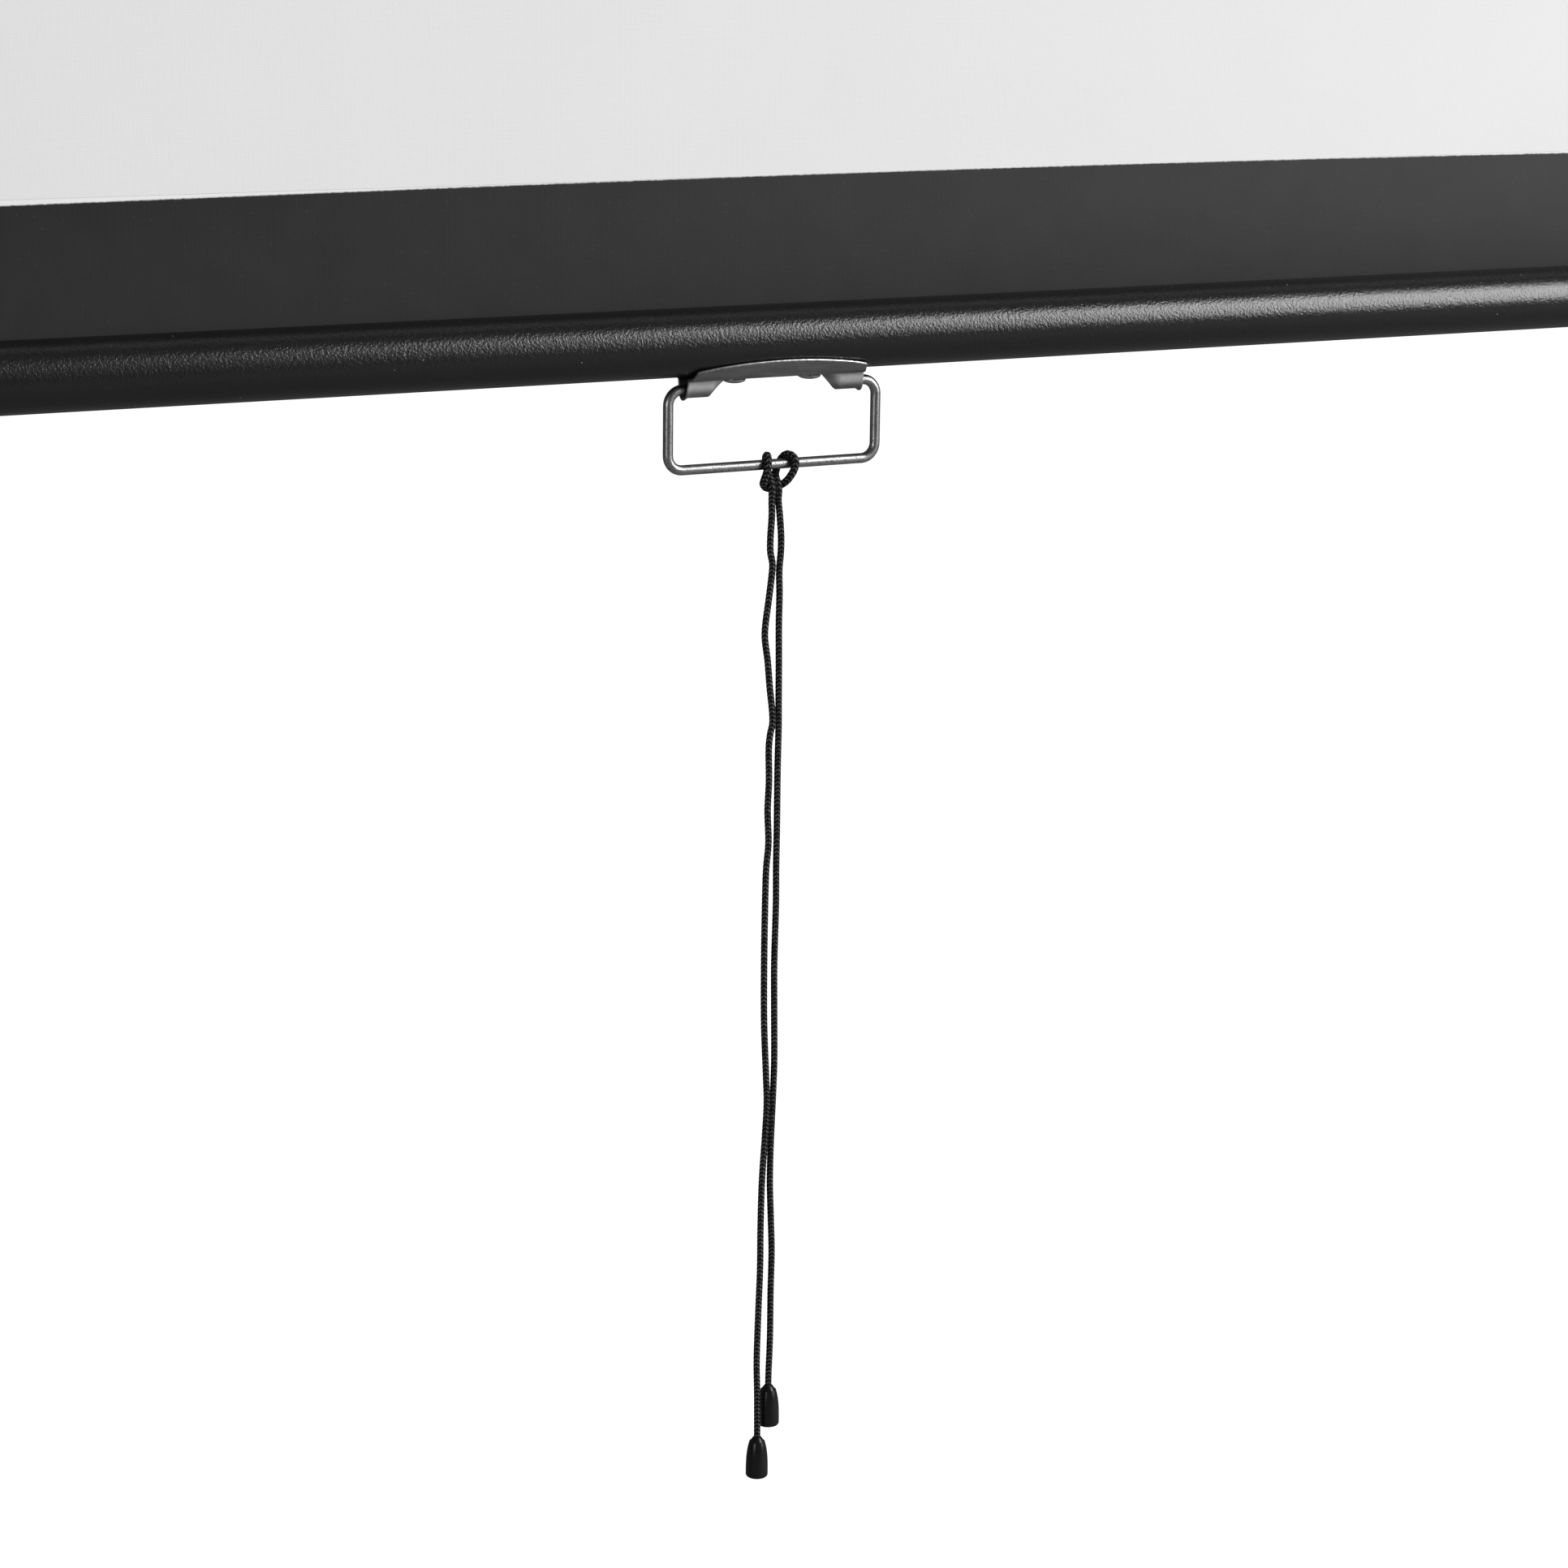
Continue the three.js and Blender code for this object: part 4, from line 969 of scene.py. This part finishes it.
def tip_profile():
    """The tip from its hole over a domed neck, out over a small eased ledge, down a bell that swells
    fast and then slowly, round its rim, and back up inside to the hole."""
    out = np.linspace(0, 1, 9)[:, None]
    across = tip_hole + (tip_neck - tip_hole) * out
    dome = np.hstack([across, -tip_top - tip_dome * out**tip_dome_bend])
    start, top = tip_neck + tip_ledge, -tip_top - tip_dome - tip_ease
    ledge = arc((start - tip_ease, top), tip_ease, 90, 0, 4)
    share = np.linspace(0, 1, 25)[:, None]
    across = tip_radius - (tip_radius - start) * (1 - share) ** tip_swell
    bell = np.hstack([across, top - (tip_length + top - tip_rim) * share])
    rim = arc((tip_radius - tip_rim, -tip_length + tip_rim), tip_rim, 0, -90, 6)
    inside = [(tip_cavity, -tip_length), (tip_cavity, -tip_cavity_top), (tip_hole, -tip_roof)]
    return np.concatenate([dome, ledge, bell[1:], rim[1:], inside])


def make_tip(level, finish):
    """A moulded tip: its profile, turned about the cord."""
    node = f"cord_tip_{level}"
    low, high = box(node)
    centre = np.array([*(low + high)[:2] / 2, high[2]])
    mesh = turned(tip_profile(), centre, 2, tip_sides, sharp_angle=50)
    return placed(f"moulded_{node}", mesh, "pull_cord", "plug_black", [finish], node)


def make_knot(level, finish):
    """A ball of cord: a sphere whose radius swells along strands that wind slantwise over it."""
    node = f"cord_knot_{level}"
    down = np.linspace(0, math.pi, knot_rows + 1)[:, None]
    turn = np.arange(knot_sides) * whole_turn / knot_sides
    swell = np.sqrt(abs(np.sin(knot_strands / 2 * turn + knot_slant * down)))
    radius = knot_radius - knot_relief * (1 - swell) * np.sin(down)
    flat = radius * np.sin(down)
    rings = np.stack([flat * np.cos(turn), flat * np.sin(turn), radius * np.cos(down)], axis=-1)
    around = np.arange(knot_sides + 1) * braid_columns / knot_sides
    along = down.ravel() * knot_radius / braid_pitch
    mesh = loft(rings + box(node).mean(axis=0), along, around, ends=False, sharp_angle=75)
    return placed(f"tied_{node}", mesh, "pull_cord", "cord_black", [finish], node)


# Sheet
def hang_sheet(front, back):
    """One closed sheet from the roller down to the printed border.

    It stands back from its plane by a level and a sum of cosines of X and Z, which fade to nothing
    towards its top and its bottom. Its UV is its own place in metres, so the print keeps to it.
    """
    top = roller_z
    height = top - sheet_bottom
    x = np.linspace(-sheet_width / 2, sheet_width / 2, sheet_columns + 1)
    z = np.linspace(top, sheet_bottom, sheet_rows + 1)[:, None]
    share = (top - z) / height
    fade = np.minimum(1, share / top_fade) * np.minimum(1, (1 - share) / bottom_fade)
    wave = wave_level + sum(
        part * np.cos(whole_turn * (x * along_x + z * along_z) / wave_length + phase)
        for part, along_x, along_z, phase in waves
    )
    layers = np.empty((2, *wave.shape, 3))
    layers[..., 0] = x
    layers[..., 1] = wave_depth * smooth_step(fade, 1) * wave - sheet_setback
    layers[..., 2] = z
    layers[0, ..., 1] -= sheet_thickness / 2 + ink_proud
    layers[1, ..., 1] += sheet_thickness / 2
    rings = np.concatenate([layers[0], layers[1, :, ::-1]], axis=1)
    beside = np.tile(np.arange(rings.shape[1]), sheet_rows)
    parts = np.concatenate([beside >= sheet_columns, np.ones(2 * sheet_columns, bool)])
    around = np.concatenate([x, x[::-1], x[:1]])
    mesh = loft(rings, z.ravel(), around, sharp_angle=60, parts=parts)
    nodes = ("screen_fabric", "masking_border")
    sheet = placed("hanging_sheet", mesh, "housing", "sheet_white", [front, back], *nodes)
    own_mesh(sheet)
    return sheet, height


def hem_line():
    """The border and its hem in section: straight down through the slot, then once round the rod."""
    radius = hem_rod_radius + fit_gap + sheet_thickness / 2
    rod_z = box("hem_rod").mean(axis=0)[2]
    loop = arc((0, rod_z), radius, 90 + hem_open_angle, 450 - hem_open_angle, hem_steps)
    neck = loop[0][1] + radius / 2
    return np.concatenate([[[0, sheet_bottom], [0, neck + radius / 2], [0, neck]], loop])


def make_border(finish):
    """The sheet's black lowest band, with the hem that goes round its rod."""
    ring = thickened(hem_line(), sheet_thickness, 2) + (-sheet_setback, 0)
    stations = np.linspace(-sheet_width / 2, sheet_width / 2, border_stations)
    mesh = drawn_along_x(ring, stations)
    return placed("black_border", mesh, "bottom_bar", "sheet_black", [finish], "bottom_border")


def wind_roller(finish):
    """The turns of sheet that stay on the roller: a spiral whose radius grows by a pitch each turn."""
    turn = np.linspace(-wrap_turns, 0, wrap_turns * wrap_steps + 1)
    radius = wrap_inner + wrap_pitch * (wrap_turns - 0.5 + turn)
    line = np.stack([np.cos(turn * whole_turn), np.sin(turn * whole_turn)], axis=-1) * radius[:, None]
    ring = thickened(line + (roller_y, roller_z), wrap_pitch, 2)
    mesh = drawn_along_x(ring, np.linspace(wrap_low[0], wrap_high[0], wrap_stations))
    return placed("wound_sheet", mesh, "roller", "sheet_black", [finish], "roller_wrap")


# Casing and roller
def make_casing(finish):
    """The roll formed shell: a line round the section from lip to lip, given the wall's thickness.

    Near each end the lips stop short, at the height of the wall, where the caps plug in.
    """
    half = case_wall / 2
    front, back = case_low[1] + half, case_high[1] - half
    bottom, top = case_low[2] + half, case_high[2] - half
    slot_front = -sheet_setback - case_slot / 2 - half
    slot_back = -sheet_setback + case_slot / 2 + half
    lip = bottom + case_lip - case_wall
    front_round, back_round = case_front_radius - half, case_back_radius - half
    y = [slot_front, slot_front, front, front, back, back, slot_back, slot_back]
    z = [lip, bottom, bottom, top, top, bottom, bottom, lip]
    radii = [lip_radius, front_round, front_round, back_round, back_round, lip_radius]
    ring = thickened(rounded_path(zip(y, z), radii, case_bend_steps), case_wall, 4)
    short = ring.copy()
    in_slot = abs(ring[:, 0] + sheet_setback) < case_slot / 2 + case_wall + lip_radius / 4
    short[in_slot, 1] = np.minimum(ring[in_slot, 1], bottom + half)
    end, inner = case_high[0], case_high[0] - cap_rim_depth
    middle = np.linspace(-inner, inner, case_stations)
    stations = np.concatenate([[-end, -inner], middle, [inner, end]])
    mesh = drawn_along_x(ring, stations, short)
    return placed("formed_casing", mesh, "housing", "case_white", [finish], "casing_shell")


def make_roller(finish):
    """The roller: a plain steel tube with softened ends."""
    low, high = box("roller_tube")[:, 0]
    soft = roller_softness
    outer, inner = roller_radius, roller_radius - roller_wall
    radius = [outer, outer, outer - soft, inner + soft, inner, inner, inner + soft, outer - soft]
    along = [low + soft, high - soft, high, high, high - soft, low + soft, low, low]
    profile = np.column_stack([radius, along])
    mesh = turned(profile, np.array([0, roller_y, roller_z]), 0, roller_sides)
    return placed("steel_roller", mesh, "roller", "bare_steel", [finish], "roller_tube")


def wind_spring(finish):
    """The torsion spring: a helix about the roller's axis, a whole number of turns long."""
    low, high = box("torsion_spring")[:, 0]
    turn = np.linspace(0, spring_turns * whole_turn, spring_turns * spring_steps + 1)
    x = np.linspace(low + spring_wire / 2, high - spring_wire / 2, len(turn))
    y, z = roller_y + spring_radius * np.cos(turn), roller_z + spring_radius * np.sin(turn)
    path = np.column_stack([x, y, z])
    rings = carried(path, spring_wire / 2, spring_sides)
    mesh = loft(rings, travelled(path), np.linspace(0, 1, spring_sides + 1))
    return placed("wound_spring", mesh, "roller", "spring_steel", [finish], "torsion_spring")


# Weight tube
def make_weight_tube(finish):
    """The tube in section: an arc from one side of its slot round to the other, given the wall."""
    middle = tube_radius - tube_wall / 2
    opening = math.degrees(math.asin((tube_slot / 2 + tube_wall / 2) / middle))
    line = arc((tube_y, tube_z), middle, 90 + opening, 450 - opening, tube_steps)
    stations = np.linspace(-tube_half, tube_half, tube_stations)
    mesh = drawn_along_x(thickened(line, tube_wall, 6), stations)
    return placed("coated_tube", mesh, "bottom_bar", "tube_black", [finish], "weight_tube")


def make_tube_plug(side, hand, finish):
    """A moulded cup in the tube's end, with a flange whose outer edge is rounded over."""
    node = f"tube_plug_{side}"
    end = max(box(node)[:, 0] * hand)
    face = end - plug_flange
    floor, deep = face + plug_wall / 2, face - plug_stub
    rim = tube_radius + plug_proud
    stub = tube_radius - tube_wall - fit_gap
    bore = stub - plug_wall
    cup = [(0, floor), (bore, floor), (bore, deep), (stub, deep), (stub, face), (rim, face)]
    rounding = arc((rim - plug_round, end - plug_round), plug_round, 0, 90, 8)
    profile = np.concatenate([cup, rounding, [(0, end)]]) * (1, hand)
    mesh = turned(profile, tube_centre, 0, plug_sides)
    return placed(f"moulded_{node}", mesh, "bottom_bar", "plug_black", [finish], node)


def plate_line(x):
    """The bracket's middle line across it at a place along, as even steps of (y, z).

    Its half width shrinks with the square of the place along. Its lips rise past the flat underside as
    the logarithm of one plus a power of e, which is a bend with a soft start. Near its ends a channel
    runs round the wire: a superellipse, whose depth ramps in along the length. A raised cosine as a
    moving average then rounds every fold.
    """
    half = plate_length / 2
    from_end = half - abs(x)
    end_share = np.minimum(1, abs(x) / half)
    width = plate_lip_middle - (plate_lip_middle - plate_lip_end) * end_share**2
    y = np.linspace(-width, width, plate_samples)
    lip = plate_lip_slope * plate_bend * np.log1p(np.exp((abs(y) - plate_flat) / plate_bend))
    ramp = np.clip((ear_length + ear_ramp - from_end) / ear_ramp, 0, 1)
    flare = ear_flare * smooth_step(ear_flare * 2 - from_end, ear_flare * 2)
    channel = (1 - np.minimum(1, abs(y) / ear_fold) ** ear_round) ** (1 / ear_round)
    under = tube_radius + fit_gap + plate_thickness / 2
    line = np.column_stack([y, lip - (ear_depth * ramp + flare) * channel - under])
    line = spread(line, plate_columns * plate_fineness + 1)
    reach = plate_fineness * 2
    bell = np.hanning(2 * reach + 3)[1:-1]
    before = 2 * line[0] - line[reach:0:-1]
    after = 2 * line[-1] - line[-2 : -reach - 2 : -1]
    padded = np.concatenate([before, line, after])
    line = np.column_stack([np.convolve(axis, bell / bell.sum(), "valid") for axis in padded.T])
    return line[::plate_fineness], width


def make_bracket(finish):
    """The pressed bracket: its middle lines, thickened, and its ends bowed outwards and thinned."""
    half = plate_length / 2
    easing = np.sin(np.linspace(0, quarter_turn, 5))
    ends = half - plate_edge * (1 - easing[1:])
    inner = np.linspace(plate_edge - half, half - plate_edge, plate_stations)
    stations = np.concatenate([-ends[::-1], inner, ends])
    from_end = np.clip((half - abs(stations)) / plate_edge, 0, 1)
    thinning = 1 - plate_thinning * (1 - np.sqrt(1 - (1 - from_end) ** 2))
    rings = []
    for x, thin in zip(stations, thinning):
        middle, width = plate_line(x)
        ring = thickened(middle, plate_thickness * thin, 6)
        bow = np.sign(x) * plate_crown * (abs(x) / half) ** plate_crown_power
        rings.append(np.column_stack([x - bow * (ring[:, 0] / width) ** 2, ring]))
    rings = np.array(rings) + (bracket_shift, tube_y, tube_z)
    across = np.linspace(0, 1, plate_columns + 1)
    cap = (rings.shape[1] - 2 * len(across)) // 4
    around = np.concatenate([np.zeros(cap), across, np.ones(2 * cap), across[::-1], np.zeros(cap + 1)])
    mesh = loft(rings, stations, around, sharp_angle=50)
    name = "pressed_bracket"
    return placed(name, mesh, "bottom_bar", "zinc_steel", [finish], "handle_bracket")


def make_rivet(side, hand, finish):
    """A rivet: a domed head under the plate, its shank, and its tail spread inside the tube."""
    node = f"handle_rivet_{side}"
    bore = tube_radius - tube_wall
    under = -tube_radius - fit_gap - plate_thickness - fit_gap
    tail = fit_gap - math.sqrt(bore**2 - rivet_tail**2)
    rise = np.linspace(0, quarter_turn, 13)
    dome = under - rivet_head_rim - (rivet_head_height - rivet_head_rim) * np.cos(rise)
    head = np.column_stack([rivet_head_radius * np.sin(rise), dome])
    rim, top = tail + rivet_tail_height * rivet_tail_rim, tail + rivet_tail_height
    radius = [rivet_head_radius, rivet_radius, rivet_radius, rivet_tail, rivet_tail]
    radius += [rivet_tail * rivet_tail_top, 0]
    shank = np.column_stack([radius, [under, under, tail, tail, rim, top, top]])
    centre = tube_centre + (bracket_shift + hand * rivet_spacing / 2, 0, 0)
    mesh = turned(np.concatenate([head, shank]), centre, 2, rivet_sides)
    return placed(f"domed_{node}", mesh, "bottom_bar", "plated_wire", [finish], node)


def make_bail(finish):
    """The wire handle: straight runs joined by true arcs, its cut ends eased over."""
    leg = bail_width / 2 - wire_radius
    wire_end = plate_length / 2 - bail_end
    x = np.array([-wire_end, -leg, -leg, leg, leg, wire_end])
    z = np.array([bail_drop, bail_drop, 0, 0, bail_drop, bail_drop])
    corners = np.column_stack([x, 0 * x, z]) + grip
    path = rounded_path(corners, [bail_bend] * 4, bail_bend_steps)
    step = wire_radius / 3
    path, spots = evenly(path, step)
    ease = np.clip(np.minimum(spots, spots[-1] - spots) / step, 0, 1)
    radius = wire_radius * (wire_end_share + (1 - wire_end_share) * ease)
    rings = carried(path, radius[:, None], wire_sides)
    mesh = loft(rings, spots, np.linspace(0, 1, wire_sides + 1), sharp_angle=40)
    return placed("wire_bail", mesh, "bail", "plated_wire", [finish], "bail_handle")


# Small steel and moulded pieces
def finer(node, body, slot, finishes, bevel):
    """A solid again as a merged mesh: its flat faces whole, its round ones smooth, its edges eased.

    Its finish is the one for its slot.
    """
    name = f"{node}_eased"
    mesh = smoothed(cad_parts[node].data, bpy.data.meshes.new(name), edge_angle, whole=True)
    piece = placed(name, mesh, body, slot, [finishes[slot]], node)
    easing = piece.modifiers.new("eased edges", "BEVEL")
    easing.width = bevel
    easing.segments = 2
    easing.limit_method = "ANGLE"
    easing.angle_limit = math.radians(edge_angle)
    easing.harden_normals = True


# Room
def make_room():
    """A room that lens and glass see white. Shiny surfaces see it dim, and its own light is even."""
    scene.world = bpy.data.worlds.new("room")
    room = Nodes(scene.world, "Background", "World")
    seen, glossy, through = (room.ray(kind) for kind in ("Camera", "Glossy", "Transmission"))
    plain = (1 - seen) * (1 - glossy) * (1 - through)
    strength = seen + glossy * studio_gloss + through + plain * ambient
    room.feed(Color=shade(1), Strength=strength.lesser(1.0))


def make_floor():
    """A plain floor that the lens sees pale near the object, less its shadow, and white far away."""
    low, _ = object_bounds()
    z = low[2] - floor_drop
    mesh = bpy.data.meshes.new("floor")
    corners = [(-1, -1), (1, -1), (1, 1), (-1, 1)]
    mesh.from_pydata([(x * floor_half, y * floor_half, z) for x, y in corners], [], [(0, 1, 2, 3)])
    floor = linked("floor", mesh)
    finish = Finish("floor", Roughness=0.9, Specular_IOR_Level=0.1)
    x, y, _ = finish.axes(finish.places())
    away = (x * x + y * y) ** 0.5
    far = away.above((floor_near + floor_far) / 2, floor_far - floor_near)
    glow = finish.ray("Camera") * (floor_glow + far * (1 - floor_glow))
    finish.feed(Base_Color=shade(floor_grey), Emission_Strength=1.0)
    finish.feed(Emission_Color=finish.grey(0, 1, glow))
    mesh.materials.append(finish.material)


def add_lamp(name, place, target, size, power):
    """A soft lamp, a rectangle that faces its target."""
    data = bpy.data.lights.new(name, "AREA")
    data.shape = "RECTANGLE"
    data.size, data.size_y = size
    data.energy = power
    away = np.subtract(place, target)
    away = away / np.linalg.norm(away)
    side = np.cross((0, 0, 1), away)
    side /= np.linalg.norm(side)
    stand(name, data, [side, np.cross(away, side), away], place)


# The scene, made in order
make_camera()
braid = black_braid()
plastic = black_plastic()
cords, left_path, right_path = make_cord(braid)
tips = {level: make_tip(level, plastic) for level in ("lower", "upper")}
knots = {level: make_knot(level, braid) for level in ("lower", "upper")}

cloth, backing = screen_cloth(), cloth_back()
sheet, sheet_height = hang_sheet(cloth, backing)
wound = wind_roller(backing)
border = make_border(black_print())

finishes = {
    "bare_steel": drawn_steel("drawn_steel", 0.34, 0.48),
    "spring_steel": drawn_steel("spring_steel", 0.10, 0.2),
    "zinc_steel": zinc_steel(),
    "nylon": natural_nylon(),
    "cap_white": moulded_white(),
}
rivet_finish = rivet_steel()

make_casing(powder_coat())
make_roller(finishes["bare_steel"])
wind_spring(finishes["spring_steel"])
make_weight_tube(wrinkle_coat())
make_bracket(pressed_plate())
make_bail(plated_wire())
for side, hand in (("left", -1), ("right", 1)):
    make_tube_plug(side, hand, plastic)
    make_rivet(side, hand, rivet_finish)
    finer(f"end_cap_{side}", "housing", "cap_white", finishes, 0.0003)
    finer(f"hanger_{side}", "housing", "zinc_steel", finishes, 0.00035)
    for place in ("front", "rear"):
        for screw in ("cap_screw", "hanger_screw"):
            finer(f"{screw}_{side}_{place}", "housing", "zinc_steel", finishes, 0.0002)
small_pieces = [
    ("hem_rod", "bottom_bar", "bare_steel", 0.0003),
    ("spring_mandrel", "housing", "bare_steel", 0.0002),
    ("ratchet_wheel", "housing", "bare_steel", 0.0001),
    ("spring_anchor", "housing", "nylon", 0.0002),
    ("idler_bush", "housing", "nylon", 0.0002),
    ("spring_ferrule", "roller", "bare_steel", 0.0002),
    ("mandrel_bearing", "roller", "nylon", 0.0002),
    ("idler_plug", "roller", "nylon", 0.0002),
    ("idler_pin", "roller", "bare_steel", 0.0002),
    ("pawl_upper", "upper_pawl", "spring_steel", 0.0001),
    ("pawl_pin_upper", "roller", "bare_steel", 0.0001),
    ("pawl_lower", "lower_pawl", "spring_steel", 0.0001),
    ("pawl_pin_lower", "roller", "bare_steel", 0.0001),
]
for node, body, slot, bevel in small_pieces:
    finer(node, body, slot, finishes, bevel)

make_room()
make_floor()
for name, lamp in lamps.items():
    add_lamp(name, **lamp)
